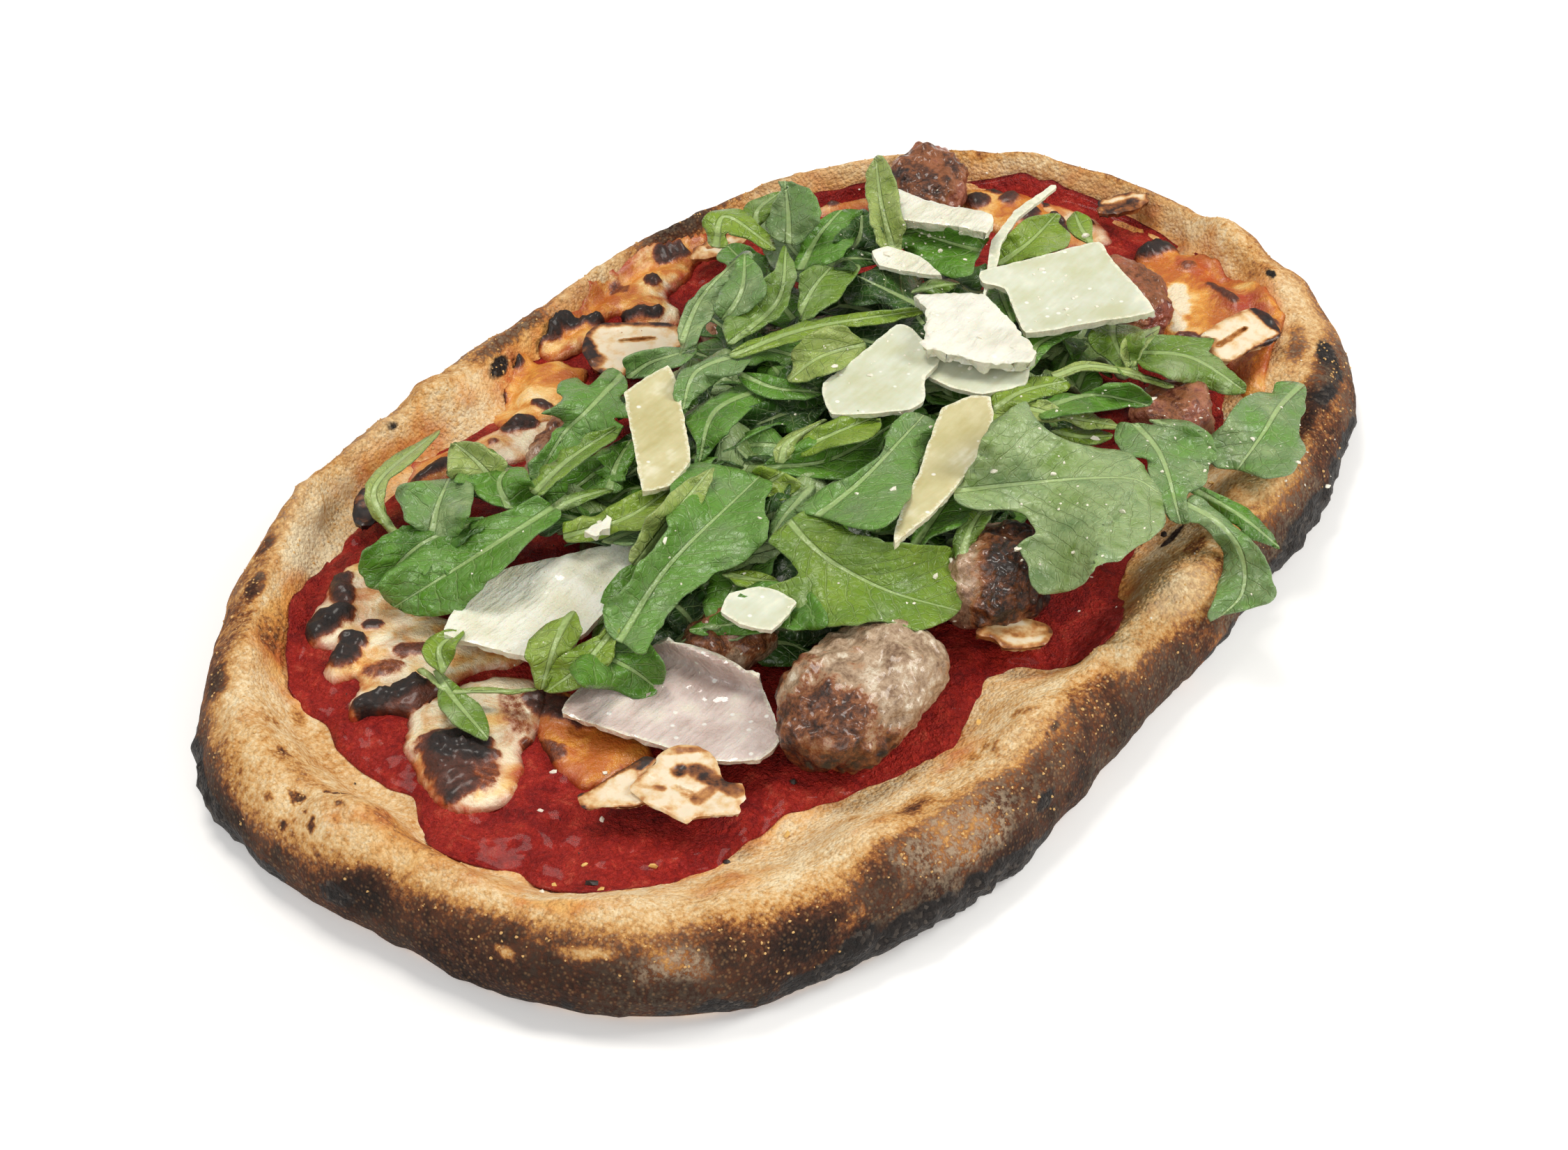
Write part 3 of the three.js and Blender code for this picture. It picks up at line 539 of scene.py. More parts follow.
def hard_cheese(name, pale, warm, grain, **wet):
    """Matured hard cheese, shaved with a blade: waxy pale yellow, its broken edges white and grainy."""
    material, n, wire = surface(
        name, IOR=1.45, Subsurface_Weight=0.15, Subsurface_Scale=0.003, **(wet or {"Coat_Weight": 0.1}))
    where = n("TexCoord", out=3)
    rim = n("Attribute", attribute_name="rim", out=2)
    cloud = n("TexNoise", {"Vector": where, "Scale": marks(12), "Detail": 4.0, "Roughness": 0.55})
    # The blade leaves faint streaks about 1.5 mm apart
    drawn = n("Mapping", {"Vector": where, "Scale": (0.2, 1, 1), "Rotation": (0, 0, 0.5)})
    streaks = n("TexNoise", {"Vector": drawn, "Scale": marks(1.5), "Detail": 2.0})
    fine = n("TexNoise", {"Vector": where, "Scale": marks(0.9), "Detail": 3.0, "Roughness": 0.7})
    mix = n("Math", {0: streaks, 1: 0.3, 2: cloud}, operation="MULTIPLY_ADD")
    base = n("ValToRGB", {0: mix}, stops=[(0.5, warm), (0.75, pale), (1.0, "#f0edd6")])
    # White crystals of about 1 mm
    spot = n("TexVoronoi", {"Vector": where, "Scale": marks(3.2)})
    which = n("SeparateColor", {"Color": n("TexVoronoi", {"Vector": where, "Scale": marks(3.2)}, out=1)})
    which = n("Math", {0: which, 1: 0.6}, operation="GREATER_THAN")
    spot = n("MapRange", {0: spot, 1: 0.12, 2: 0.2, 3: 0.8, 4: 0.0})
    spot = n("Math", {0: spot, 1: which}, operation="MULTIPLY")
    base = n("Mix", {0: spot, 6: base, 7: "#f6f6ee"}, **COLOURS)
    broken = n("Math", {0: rim, 1: fine}, operation="MULTIPLY")
    base = n("Mix", {0: n("MapRange", {0: broken, 1: 0.3, 2: 0.6}), 6: base, 7: "#efebd4"}, **COLOURS)
    wire("Base Color", base)
    wire("Roughness", n("MapRange", {0: cloud, **NOISE, 3: 0.36, 4: 0.52}))
    height = n("Math", {0: fine, 1: 0.5, 2: streaks}, operation="MULTIPLY_ADD")
    wire("Normal", n("Bump", {"Strength": grain, "Distance": 0.0004, "Height": height}))
    return material


def rocket_leaf():
    """Fresh rocket with a drop of oil: shiny deep green above with pale veins, matt grey-green below."""
    material, n, wire = surface(
        "rocket_leaf", IOR=1.45, Coat_Weight=0.12, Coat_Roughness=0.1,
        Subsurface_Weight=0.06, Subsurface_Scale=0.001)
    where = n("TexCoord", out=3)
    along, across, half = n("SeparateXYZ", {0: n("Attribute", attribute_name="blade", out=1)}).node.outputs
    tone, under, far = n("SeparateXYZ", {0: n("Attribute", attribute_name="finish", out=1)}).node.outputs
    side = n("Math", {0: across}, operation="ABSOLUTE")
    cloud = n("TexNoise", {"Vector": where, "Scale": marks(9), "Detail": 3.0, "Roughness": 0.55})
    fine = n("TexNoise", {"Vector": where, "Scale": marks(1.6), "Detail": 3.0, "Roughness": 0.6})
    shift = n("MapRange", {0: cloud, **NOISE, 3: -0.09, 4: 0.09})
    # The darkest tones are partly painted shade, for leaves lying under others and for the heap's inside
    green = n("ValToRGB", {0: n("Math", {0: tone, 1: shift}, operation="ADD")}, stops=[
        (0.0, "#213b15"), (0.1, "#325819"), (0.25, "#578727"), (0.35, "#699245"), (0.44, "#728d5a"),
        (0.53, "#95aa74"), (0.64, "#65842c"), (0.82, "#7d982d"), (1.0, "#9cac62")])
    # Side veins leave the rib about every 6 mm, twice the gap, and lean towards the tip
    wander = n("MapRange", {0: cloud, **NOISE, 3: -1.2, 4: 1.2})
    lean = n("Math", {0: side, 1: -VEIN_LEAN, 2: along}, operation="MULTIPLY_ADD")
    lean = n("Math", {0: lean, 1: wander}, operation="ADD")
    left = n("Math", {0: across, 1: 0.0}, operation="GREATER_THAN")
    tilt = n("Math", {0: left, 1: VEIN_SHIFT, 2: lean}, operation="MULTIPLY_ADD")
    fold = n("Math", {0: tilt, 1: VEIN_GAP}, operation="PINGPONG")
    veins = n("MapRange", {0: fold, 1: 0.08, 2: 0.42, 3: 1.0, 4: 0.0})
    fade = n("Math", {0: side, 1: n("Math", {0: half, 1: 0.5}, operation="MAXIMUM")}, operation="DIVIDE")
    fade = n("MapRange", {0: fade, 1: 0.5, 2: 1.0, 3: 0.62, 4: 0.05})
    veins = n("Math", {0: veins, 1: fade}, operation="MULTIPLY")
    net = n("TexVoronoi", {"Vector": where, "Scale": marks(2.2)}, feature="DISTANCE_TO_EDGE")
    net = n("MapRange", {0: net, 1: 0.02, 2: 0.1, 3: 0.22, 4: 0.0})
    veins = n("Math", {0: veins, 1: net}, operation="MAXIMUM")
    rib_width = n("MapRange", {0: far, 1: 0.0, 2: 1.0, 3: 0.95, 4: 0.25})
    rib = n("Math", {0: side, 1: rib_width}, operation="DIVIDE")
    rib = n("MapRange", {0: rib, 1: 0.75, 2: 1.25, 3: 1.0, 4: 0.0})
    pale = n("Mix", {0: 0.5, 6: green, 7: "#a9bf80"}, **COLOURS)
    base = n("Mix", {0: veins, 6: green, 7: pale}, **COLOURS)
    base = n("Mix", {0: n("Math", {0: rib, 1: 0.55}, operation="MULTIPLY"), 6: base, 7: "#adc384"},
             **COLOURS)
    below = n("Mix", {0: 0.62, 6: base, 7: "#76906a"}, **COLOURS)
    base = n("Mix", {0: under, 6: base, 7: below}, **COLOURS)
    wire("Base Color", base)
    shine = n("MapRange", {0: fine, **NOISE, 3: 0.24, 4: 0.4})
    wire("Roughness", n("MapRange", {0: under, 1: 0.0, 2: 1.0, 3: shine, 4: 0.6}))
    relief = n("Math", {0: veins, 1: rib}, operation="MAXIMUM")
    relief = n("Math", {0: fine, 1: 0.5, 2: n("Math", {0: relief, 1: -1.0}, operation="MULTIPLY")},
               operation="MULTIPLY_ADD")
    # The blade is crinkled between its veins, about 4 mm apart
    crinkle = n("TexNoise", {"Vector": where, "Scale": marks(4), "Detail": 2.0, "Roughness": 0.5})
    relief = n("Math", {0: crinkle, 1: 1.8, 2: relief}, operation="MULTIPLY_ADD")
    wire("Normal", n("Bump", {"Strength": 0.75, "Distance": 0.0009, "Height": relief}))
    return material


def plain(name, colour, roughness):
    """A plain finish between two colours, for crumbs and flakes too small to show a pattern."""
    material, n, wire = surface(name, Roughness=roughness)
    where = n("TexCoord", out=3)
    cloud = n("TexNoise", {"Vector": where, "Scale": marks(1.5), "Detail": 2.0})
    wire("Base Color", n("Mix", {0: cloud, 6: colour[0], 7: colour[1]}, **COLOURS))
    return material


DOUGH, SAUCE, MELTED, SAUSAGE = baked_dough(), tomato_sauce(), melted_cheese(), roast_sausage()
GARLIC, LEAF = toasted_garlic(), rocket_leaf()
# Hard cheese by finish: smooth and cool, riper and yellower, broken and white, wet with oil and lightened as
# painted light against shade, soft from heat
HARD_CHEESE = {
    "shaved": hard_cheese("shaved_hard_cheese", "#d2d6c2", "#c4c6a4", 0.3),
    "ripe": hard_cheese("ripe_hard_cheese", "#cdc598", "#bab07b", 0.3),
    "crumbly": hard_cheese("crumbly_hard_cheese", "#e9e8dc", "#d6d4c2", 1.0),
    # The wet finish's near-white is partly painted light: paler than the cheese, to make up for the shade the
    # shavings lie in
    "wet": hard_cheese("wet_hard_cheese_painted_light", "#f2f0e2", "#dedbc0", 1.8, Coat_Weight=0.8, Coat_Roughness=0.1),
    "softened": hard_cheese(
        "softened_hard_cheese", "#dcccc4", "#bba59c", 1.6, Coat_Weight=1.0, Coat_Roughness=0.06)}
# Small bits: white crumbs of cheese and salt, black cinders and pale yellow seeds
SALT = plain("salt_and_cheese_crumbs", ("#f4efe0", "#e6dfc9"), 0.45)
CINDER = plain("cinders", ("#191413", "#35241d"), 0.5)
SEED = plain("tomato_seeds", ("#d8a24e", "#e9c77c"), 0.35)


# The crust

# The rim unrolled: every 7.5 degrees from +X, how far down it turns brown (0 by the sauce, 1 at the foot), how
# dark it gets, how far down it is black, and how floury it is
BROWN_FROM = np.array([
    0.57, 0.57, 0.57, 0.57, 0.57, 0.55, 0.5, 0.5, 0.54, 0.53, 0.46, 0.45, 0.46, 0.46, 0.46, 0.46,
    0.47, 0.46, 0.49, 0.52, 0.58, 0.66, 0.75, 0.74, 0.66, 0.64, 0.61, 0.64, 0.65, 0.63, 0.59, 0.56,
    0.54, 0.54, 0.56, 0.56, 0.58, 0.62, 0.68, 0.6, 0.62, 0.66, 0.66, 0.66, 0.62, 0.63, 0.6, 0.58])
BROWN_DEPTH = np.array([
    0.6, 0.62, 0.62, 0.6, 0.6, 0.6, 0.66, 0.68, 0.5, 0.45, 0.55, 0.5, 0.42, 0.42, 0.46, 0.46,
    0.46, 0.48, 0.46, 0.48, 0.6, 0.66, 0.5, 0.58, 0.62, 0.74, 0.7, 0.64, 0.64, 0.67, 0.66, 0.62,
    0.66, 0.68, 0.7, 0.72, 0.68, 0.62, 0.5, 0.54, 0.62, 0.62, 0.6, 0.62, 0.58, 0.5, 0.46, 0.5])
BLACK_FROM = np.array([
    0.97, 0.97, 0.97, 0.97, 0.97, 0.97, 0.9, 0.9, 0.97, 0.97, 0.97, 0.97, 0.97, 0.97, 0.97, 0.97,
    0.97, 0.95, 0.95, 0.95, 0.92, 0.87, 0.93, 1, 1, 1, 1, 1, 0.98, 0.91, 0.87, 0.88,
    0.93, 1, 1, 1, 1, 0.98, 0.95, 0.93, 0.9, 0.84, 0.85, 0.86, 0.92, 0.97, 0.97, 0.97])
FLOURY = np.array([
    0.4, 0.4, 0.4, 0.4, 0.4, 0.4, 0.3, 0.3, 0.4, 0.4, 0.5, 0.6, 0.7, 0.75, 0.7, 0.7,
    0.7, 0.6, 0.5, 0.4, 0.2, 0.15, 0.1, 0.1, 0.1, 0.1, 0.1, 0.15, 0.15, 0.2, 0.3, 0.6,
    0.4, 0.3, 0.25, 0.2, 0.15, 0.25, 0.4, 0.4, 0.3, 0.35, 0.4, 0.35, 0.35, 0.4, 0.5, 0.4])
# Single marks: what they add, how much, at how many degrees, how far down, half their length and height in mm
CRUST_MARKS = [
    ("toast", -0.35, 198, 0.76, 9, 1.8), ("flour", 0.95, 205, 0.8, 9, 4.5), ("toast", -0.12, 205, 0.8, 9, 4.5),
    ("toast", -0.4, 192, 0.8, 2.4, 1.8), ("toast", -0.2, 220, 0.82, 4, 2.5), ("toast", 0.25, 229, 0.45, 5, 4),
    ("toast", 0.22, 222, 0.32, 1.6, 4), ("toast", 0.25, 240, 0.36, 1.4, 3), ("flour", 0.5, 233, 0.72, 20, 8),
    ("char", 0.8, 245, 0.81, 4, 2.2), ("toast", 0.12, 264, 0.33, 11, 5), ("toast", 0.3, 297, 0.5, 6, 3.5),
    ("flour", 0.8, 286, 0.6, 12, 5), ("char", 0.9, 304, 0.3, 6, 1.6), ("char", 1, 331, 0.7, 7, 4),
    ("toast", 0.3, 322, 0.62, 20, 3.5), ("char", 0.9, 325, 0.71, 4, 4), ("toast", 0.36, 333, 0.57, 13, 6),
    ("toast", 0.4, 328, 0.68, 13, 6), ("char", 0.7, 328, 0.76, 5, 2.5), ("char", 0.8, 343, 0.52, 2.4, 1.2),
    ("toast", 0.15, 346, 0.5, 10, 4), ("toast", 0.4, 50, 0.5, 16, 5), ("char", 0.9, 85, 0.4, 7, 3),
    ("toast", 0.4, 80, 0.5, 18, 3), ("char", 0.7, 107, 0.48, 3.4, 2), ("toast", -0.2, 129, 0.3, 8, 9),
    ("flour", 0.4, 127, 0.35, 9, 6), ("toast", 0.3, 143, 0.4, 10, 4), ("toast", 0.3, 155, 0.28, 4, 2),
    ("oil", 0.95, 110, 0.32, 20, 8.5), ("oil", 0.8, 136, 0.33, 8, 5), ("oil", 0.6, 146, 0.4, 14, 6),
    ("oil", 0.75, 180, 0.46, 36, 11), ("toast", 0.24, 180, 0.48, 26, 9), ("oil", 0.9, 195, 0.58, 14, 3.5),
    ("toast", 0.2, 195, 0.58, 12, 3), ("oil", 0.5, 208, 0.45, 14, 7), ("toast", 0.1, 209, 0.42, 14, 7),
    ("oil", 0.45, 222, 0.5, 7, 3), ("oil", 0.5, 240, 0.3, 9, 4), ("oil", 0.3, 258, 0.22, 20, 3),
    ("oil", 0.4, 290, 0.2, 20, 3), ("oil", 0.9, 338, 0.38, 24, 10), ("oil", 0.9, 76, 0.36, 34, 9),
    ("oil", 0.7, 55, 0.34, 20, 7), ("oil", 0.5, 356, 0.36, 20, 5), ("toast", 0.14, 165, 0.52, 14, 4),
    ("toast", 0.18, 227, 0.5, 12, 4), ("flour", 0.6, 281, 0.47, 8, 5), ("toast", 0.35, 138, 0.57, 5, 3),
    ("toast", 0.3, 151, 0.68, 6, 4), ("toast", 0.3, 131, 0.62, 4, 3), ("toast", 0.2, 164, 0.9, 8, 4),
    ("toast", 0.12, 172, 0.5, 16, 4), ("toast", -0.1, 231, 0.73, 14, 5), ("flour", 0.75, 232, 0.72, 15, 6),
    # The first mark on the next line, paler dough at 131 degrees, is partly painted light: it lifts a slope
    # that faces away from the lamps
    ("toast", -0.15, 131, 0.4, 9, 6), ("toast", 0.25, 216, 0.8, 10, 5), ("char", 0.7, 176, 0.88, 6, 3),
    ("toast", 0.25, 178, 0.82, 8, 6), ("toast", 0.16, 191, 0.72, 8, 4)]
# How many rings lie on each stretch of the section, from the middle out, over the rim and in below
SLOPE_COUNTS = [5, 7, 9, 2, 4, 6, 6, 7, 8, 7, 8, 4, 3, 5, 5, 7, 7, 7, 6]
# The rim's slope runs from the second stretch's end to the twelfth's
SLOPE_START, SLOPE_END = sum(SLOPE_COUNTS[:2]), sum(SLOPE_COUNTS[:12])
# Points round the crust, the sauce and the heap's dark inside
CRUST_ROUND, SAUCE_ROUND, HEAP_ROUND = 720, 600, 160
# Creases where the rim folds in: a place, its size and depth
CREASES = [((-150, 27, 22), 7, 1.6), ((-146, -28, 22), 7, 1.3), ((-128, -58, 23), 8, 1.0),
           ((-108, 66, 22), 9, 1.2), ((-12, 92, 18), 7, 0.8), ((10, -98, 20), 9, 1.1)]
# Dark freckles and burst skin: a place, its size and how dark
FRECKLES = [((-150, 22, 20), 16, 0.5), ((-140, 45, 21), 14, 0.3), ((-45, -92, 20), 20, 0.3)]
# How toasted the dough is inside the crest, and how many small blisters the rim has
LIGHT_TOAST, RIM_BLISTERS = 0.17, 110


def crust_knots(t):
    """Rings of the crust's section from the middle of its floor out, over the rim and in below."""
    outer, edge, crest = crust_radius(t), sauce_radius(t), crest_radius(t)
    crest_z = crust_top(t, crest)
    section = [(edge * share, None) for share in (0.3, 0.6, 0.88)] + [(edge - 1, None)]
    section += [(edge + (crest - edge) * share, None) for share in (0.2, 0.45, 0.72, 1)]
    section += [(0.45 * outer + 0.55 * crest, 0.14 * WIDEST_HEIGHT + 0.86 * crest_z),
                (outer - 2.2, 0.42 * WIDEST_HEIGHT + 0.58 * crest_z),
                (outer - 0.5, WIDEST_HEIGHT + 2.6), (outer, WIDEST_HEIGHT), (outer - 0.9, 4.8),
                (outer - 3.4, 1.7), (outer - 8, 0)]
    section += [(outer * share, 0) for share in (0.8, 0.62, 0.42, 0.22, 0.04)]
    return np.array([ring(t, r, crust_top(t, r) if z is None else z + 0 * t) for r, z in section])


def make_crust():
    """The crust's skin with its blisters, burnt foot and creases, and how each point of it is baked."""
    t = np.arange(CRUST_ROUND) / CRUST_ROUND * TURN
    rings = through(crust_knots(t), SLOPE_COUNTS)
    x, y, z = np.moveaxis(rings, -1, 0)
    around = np.broadcast_to(t, z.shape)
    r = np.hypot(x - CENTRE[0], y - CENTRE[1])
    edge, outer = sauce_radius(around), crust_radius(around)
    out = facing(rings)
    up = out[..., 2]
    lower = smooth(0.2, 3, z)
    push = 0.9 * swells(rings, 26, 11, 2) + 0.45 * swells(rings, 8, 12, 3)
    push += 0.16 * swells(rings, 2.6, 13, 2) + 0.3 * swells(rings, 5, 16, 2)
    # Small blisters risen in the oven
    stone = np.random.default_rng(3)
    rim = smooth(-4, 2, r - edge)
    for _ in range(RIM_BLISTERS):
        at = stone.uniform(0, TURN)
        inset = stone.uniform(0, 14)
        place = np.array([*(CENTRE + (crust_radius(at) - inset) * np.array([math.cos(at), math.sin(at)])), 0])
        place[2] = 20 if inset > 5 else stone.uniform(8, 17)
        size = stone.uniform(1.8, 5)
        push += size * 0.16 * dome(np.linalg.norm(rings - place, axis=-1) / size)
    # How far down the slope each point is, from 0 by the sauce to 1 at the foot
    walk = np.concatenate([0 * z[:1], np.cumsum(np.linalg.norm(np.diff(rings, axis=0), axis=-1), 0)])
    length = walk[SLOPE_END] - walk[SLOPE_START]
    down = (walk - walk[SLOPE_START]) / length
    # A lumpy black lip at the foot of the near side
    band = round_table(around, BLACK_FROM) + 0.05 * swells(rings, 9, 14, 2)
    lip = smooth(band - 0.02, band + 0.05, down) * smooth(0.95, 0.9, band)
    push += lip * (0.6 + 0.9 * swells(rings, 3.6, 15, 3))
    push *= lower * (0.25 + 0.75 * rim)
    for place, size, depth in CREASES:
        push -= depth * np.exp(-(np.linalg.norm(rings - np.array(place), axis=-1) / size) ** 2)
    rings = rings + out * push[..., None]
    rings[..., 2] = np.maximum(rings[..., 2], 0)
    obj, row, column = wrapped("pinsa_crust", rings)

    # How it is baked: golden inside the crest, brown down the slope, burnt at the foot
    cloud, small = swells(rings, 17, 21, 4), swells(rings, 4.5, 22, 3)
    start = round_table(around, BROWN_FROM) + 0.05 * cloud + 0.04 * small
    slope = smooth(start - 0.06, start + 0.15, down)
    toast = LIGHT_TOAST + 0.09 * swells(rings, 22, 23, 3) + 0.05 * small
    toast += slope * (round_table(around, BROWN_DEPTH) - LIGHT_TOAST + 0.05 * cloud + 0.05 * small)
    toast += 0.16 * slope * smooth(0.72, 0.92, down)
    char = smooth(band - 0.03, band + 0.03, np.minimum(down, 0.97) + 0.03 * small)
    flour = round_table(around, FLOURY) * smooth(-0.4, 0.4, cloud) * smooth(0.42, 0.54, down)
    oil = 0.6 * smooth(6, 0, r - sauce_edge(around) - 2 * small) * smooth(-0.3, 0.4, swells(rings, 24, 24, 2))
    kept = {"toast": toast, "char": char, "flour": flour, "oil": oil}
    for kind, strength, angle, depth, wide, tall in CRUST_MARKS:
        turn = (around - math.radians(angle) + math.pi) % TURN - math.pi
        gap = np.hypot(turn * outer / wide, (down - depth) * length / tall)
        kept[kind] = kept[kind] + strength * smooth(1.2, 0.4, gap + 0.3 * cloud + 0.25 * small)
    for place, size, share in FRECKLES:
        gap = np.linalg.norm(rings - np.array(place), axis=-1) / size
        freckle = smooth(0.45, 0.62, swells(rings * np.array([1, 1, 1.6]), 3.4, 31, 2))
        kept["toast"] = kept["toast"] + share * freckle * smooth(1, 0.3, gap)
    # The underside is baked through with darker spots and keeps some flour
    below = smooth(1.5, 0.3, z) * smooth(0, -0.5, up)
    spots = smooth(0.1, 0.5, swells(rings, 20, 25, 3))
    kept["toast"] = kept["toast"] * (1 - below) + below * (0.28 + 0.28 * spots + 0.12 * small)
    kept["char"] = kept["char"] * (1 - below) + below * 0.6 * smooth(0.5, 0.8, swells(rings, 16, 26, 3))
    kept["flour"] = kept["flour"] + below * 0.6 * smooth(-0.3, 0.3, cloud)
    for kind, value in kept.items():
        value = np.clip(value, 0, 1)
        full = np.concatenate([value[:1], value, value[-1:]])
        note(obj, kind, full[row, column])
    return dress(obj, DOUGH, "baked_dough", "crust")


# The sauce

def make_sauce():
    """The sauce's lumpy top, thin at its edge, and a plain layer of rings below it."""
    t = np.arange(SAUCE_ROUND) / SAUCE_ROUND * TURN
    edge = sauce_edge(t)
    shares = np.concatenate([np.linspace(0.04, 0.86, 58), np.linspace(0.87, 1, 22)])
    rings = []
    for r in (edge * share for share in shares):
        depth = SAUCE_DEPTH * np.sqrt(smooth(-0.6, 9, edge - r))
        rings.append(ring(t, r, crust_top(t, r) + depth - 0.12))
    rings = np.array(rings)
    clear = smooth(0, 2.5, (edge[None] * (1 - shares[:, None])))
    pulp = 0.6 * swells(rings, 9, 41, 2) + 0.5 * swells(rings, 3.4, 42, 3)
    pulp += 0.55 * smooth(0.55, 0.1, grains(rings, 5, 43)[0]) * smooth(-0.2, 0.5, swells(rings, 15, 44, 1))
    below = [ring(t, edge * share, crust_top(t, edge * share) - 0.6) for share in (0.995, 0.9, 0.5, 0.1)]
    rings = rings + facing(rings) * (pulp * clear)[..., None]
    skin = wrapped("crushed_tomato", np.concatenate([rings, below]))[0]
    return dress(skin, SAUCE, "tomato_sauce", "tomato_sauce")


# Sheets cut to an outline

def numbers(text):
    """Rows of numbers from a text such as 1,2 3,4."""
    return np.array([[float(v) for v in word.split(",")] for word in text.split()])


def sight(points, z):
    """Where the line of sight through points read in the plan passes height z."""
    plan = raised(points, PLAN_HEIGHT)
    return EYE + (plan - EYE) * ((EYE[2] - z) / (EYE[2] - PLAN_HEIGHT))[:, None]


def closed_curve(corners, step, soft):
    """Points every step mm anticlockwise round the corners, on straight sides or on a smooth curve."""
    corners = corners if np.cross(corners, np.roll(corners, -1, 0)).sum() > 0 else corners[::-1]
    count = len(corners)
    line = []
    for i in range(count):
        a, b, c, d = (corners[(i + k) % count] for k in (-1, 0, 1, 2))
        pieces = max(2, int(np.linalg.norm(c - b) / step))
        for u in np.arange(pieces) / pieces:
            line.append(soft * curve_at(a, b, c, d, u) + (1 - soft) * (b + (c - b) * u))
    return np.array(line)


def round_about(x, y, a, b, turn, seed):
    """An uneven oval outline."""
    t = np.arange(36) / 36 * TURN
    reach = 1 + 0.22 * swells(np.column_stack([np.cos(t), np.sin(t), 0 * t]) * 2.2, 1, seed, 3)
    return np.column_stack(turned(a * reach * np.cos(t), b * reach * np.sin(t), turn, x, y))


def away(points, ends):
    """How far points lie from a stretch between the two ends given."""
    a, b = ends[0], ends[-1]
    way = b - a
    share = np.clip((points[:, :2] - a) @ way / max(way @ way, 1e-9), 0, 1)
    return np.linalg.norm(points[:, :2] - a - share[:, None] * way, axis=1)


def inside(points, outline):
    """Which points lie inside a closed outline."""
    a, b = outline, np.roll(outline, -1, 0)
    x, y = points[:, :1], points[:, 1:2]
    crosses = (a[:, 1] > y) != (b[:, 1] > y)
    with np.errstate(divide="ignore", invalid="ignore"):
        at = a[:, 0] + (y - a[:, 1]) * (b[:, 0] - a[:, 0]) / (b[:, 1] - a[:, 1])
    return (crosses & (x < at)).sum(1) % 2 == 1


def fill(outline, step, seed):
    """Points and triangles that fill an outline, and each point's distance from its edge."""
    low, high = outline.min(0), outline.max(0)
    xs = np.arange(low[0], high[0], step)
    ys = np.arange(low[1], high[1], step * 0.866)
    gx, gy = np.meshgrid(xs, ys)
    gx = gx + 0.5 * step * (np.arange(len(ys)) % 2)[:, None]
    grid = np.column_stack([gx.ravel(), gy.ravel()])
    grid += np.random.default_rng(seed).uniform(-0.12, 0.12, grid.shape) * step
    grid = grid[inside(grid, outline)]
    gap = np.sqrt(((grid[:, None] - outline[None]) ** 2).sum(2).min(1)) if len(grid) else np.zeros(0)
    grid, gap = grid[gap > 0.55 * step], gap[gap > 0.55 * step]
    points = np.concatenate([outline, grid])
    count = len(outline)
    loop = [(i, (i + 1) % count) for i in range(count)]
    found = delaunay_2d_cdt([Vector(p) for p in points.tolist()], loop, [], 1, 1e-7)
    made = np.array([tuple(v) for v in found[0]])
    faces = [tuple(f) for f in found[2]]
    gap = np.sqrt(((made[:, None] - outline[None]) ** 2).sum(2).min(1))
    return made, faces, gap


def sheet_object(name, points, faces, thickness, notes):
    """A thin closed piece from one layer of faces that look up."""
    obj = mesh_object(name, points, faces)
    for kind, values in notes.items():
        note(obj, kind, values)
    apply(obj, "SOLIDIFY", thickness=thickness * MM, offset=-1, use_even_offset=False)
    return obj


# Melted cheese

# How far the cheese reaches down into the sauce, and its points' distance along its edge and inside it, in mm
CHEESE_DEPTH, CHEESE_STEP, CHEESE_FILL = 1.3, 0.9, 0.95
# Name, outline in the plan or an oval (x, y, half length, half width, turn), thickness, how oily, how thin
CHEESE = [
    ("cheese_left_far", "-71.8,68 -76.5,72.5 -83.4,72.2 -92.6,69.2 -98.9,67.4 -103.8,63.6 -104.1,59.5 "
     "-102.4,56.2 -107.6,54.3 -110.6,52.4 -111.4,48.2 -107.8,46.3 -109.9,43.1 -115.7,41.2 -118.3,37.5 -113,34 "
     "-109.8,27.8 -105,25.8 -98.2,26.3 -89.6,24.3 -83.3,19.5 -77.7,19.9 -77.3,32.1 -79.8,42.1 -79.5,52.5 "
     "-76.4,61.2", 2.0, 0.15, 0.45),
    ("cheese_left_near", "-109.1,28.4 -114.5,25.3 -120.3,21.6 -123.8,14.8 -128.5,7.2 -128.9,1.7 -125.5,-4.1 "
     "-118.2,-6.8 -110.6,-4.1 -106.5,-0.2 -99.4,1.5 -90.6,5.1 -84.5,10.7 -87,18.5 -93.3,23.4 -99.6,26.2", 2.3,
     0.1, 0.3),
    ("cheese_left_front", "-99.2,1.3 -103.8,-6.1 -106.5,-11.9 -105.8,-18.9 -97.1,-21.7 -90.9,-24.6 -87.2,-20 "
     "-87.9,-11 -83.9,-0.4 -84.6,6.8 -89.6,7.8", 1.6, 1.0, 0.2),
    ("cheese_far_side", "46,92.4 60,92 74,88 78,82 66,78 53,76 47,69 42,66 34,74 37,82 24,80 16,82 14,88 24,92 "
     "34,93", 2.6, 0.55, 0.6),
    ("cheese_far_left", "1,93.9 6.6,96.1 10,91.2 13,82 15,74 6,70 -9.3,68.6 -15.4,72.4 -15.5,77.6 -8.1,86.7",
     2.4, 0.75, 0.1),
    ("cheese_right", "138.8,-10.7 142.5,-18.8 142.1,-29.2 137.6,-41.9 130.8,-53.6 124.9,-60.9 112.9,-69.4 "
     "103.3,-70.8 97.2,-64.6 101.6,-58.3 111.4,-46.8 107.5,-41.1 103.6,-35.5 112.9,-27.9 122.5,-20.3 "
     "129.1,-13.3", 2.2, 0.95, 0.15),
    ("cheese_back", (132, 26, 10, 15, 0), 2.6, 0.6, 0.3)]
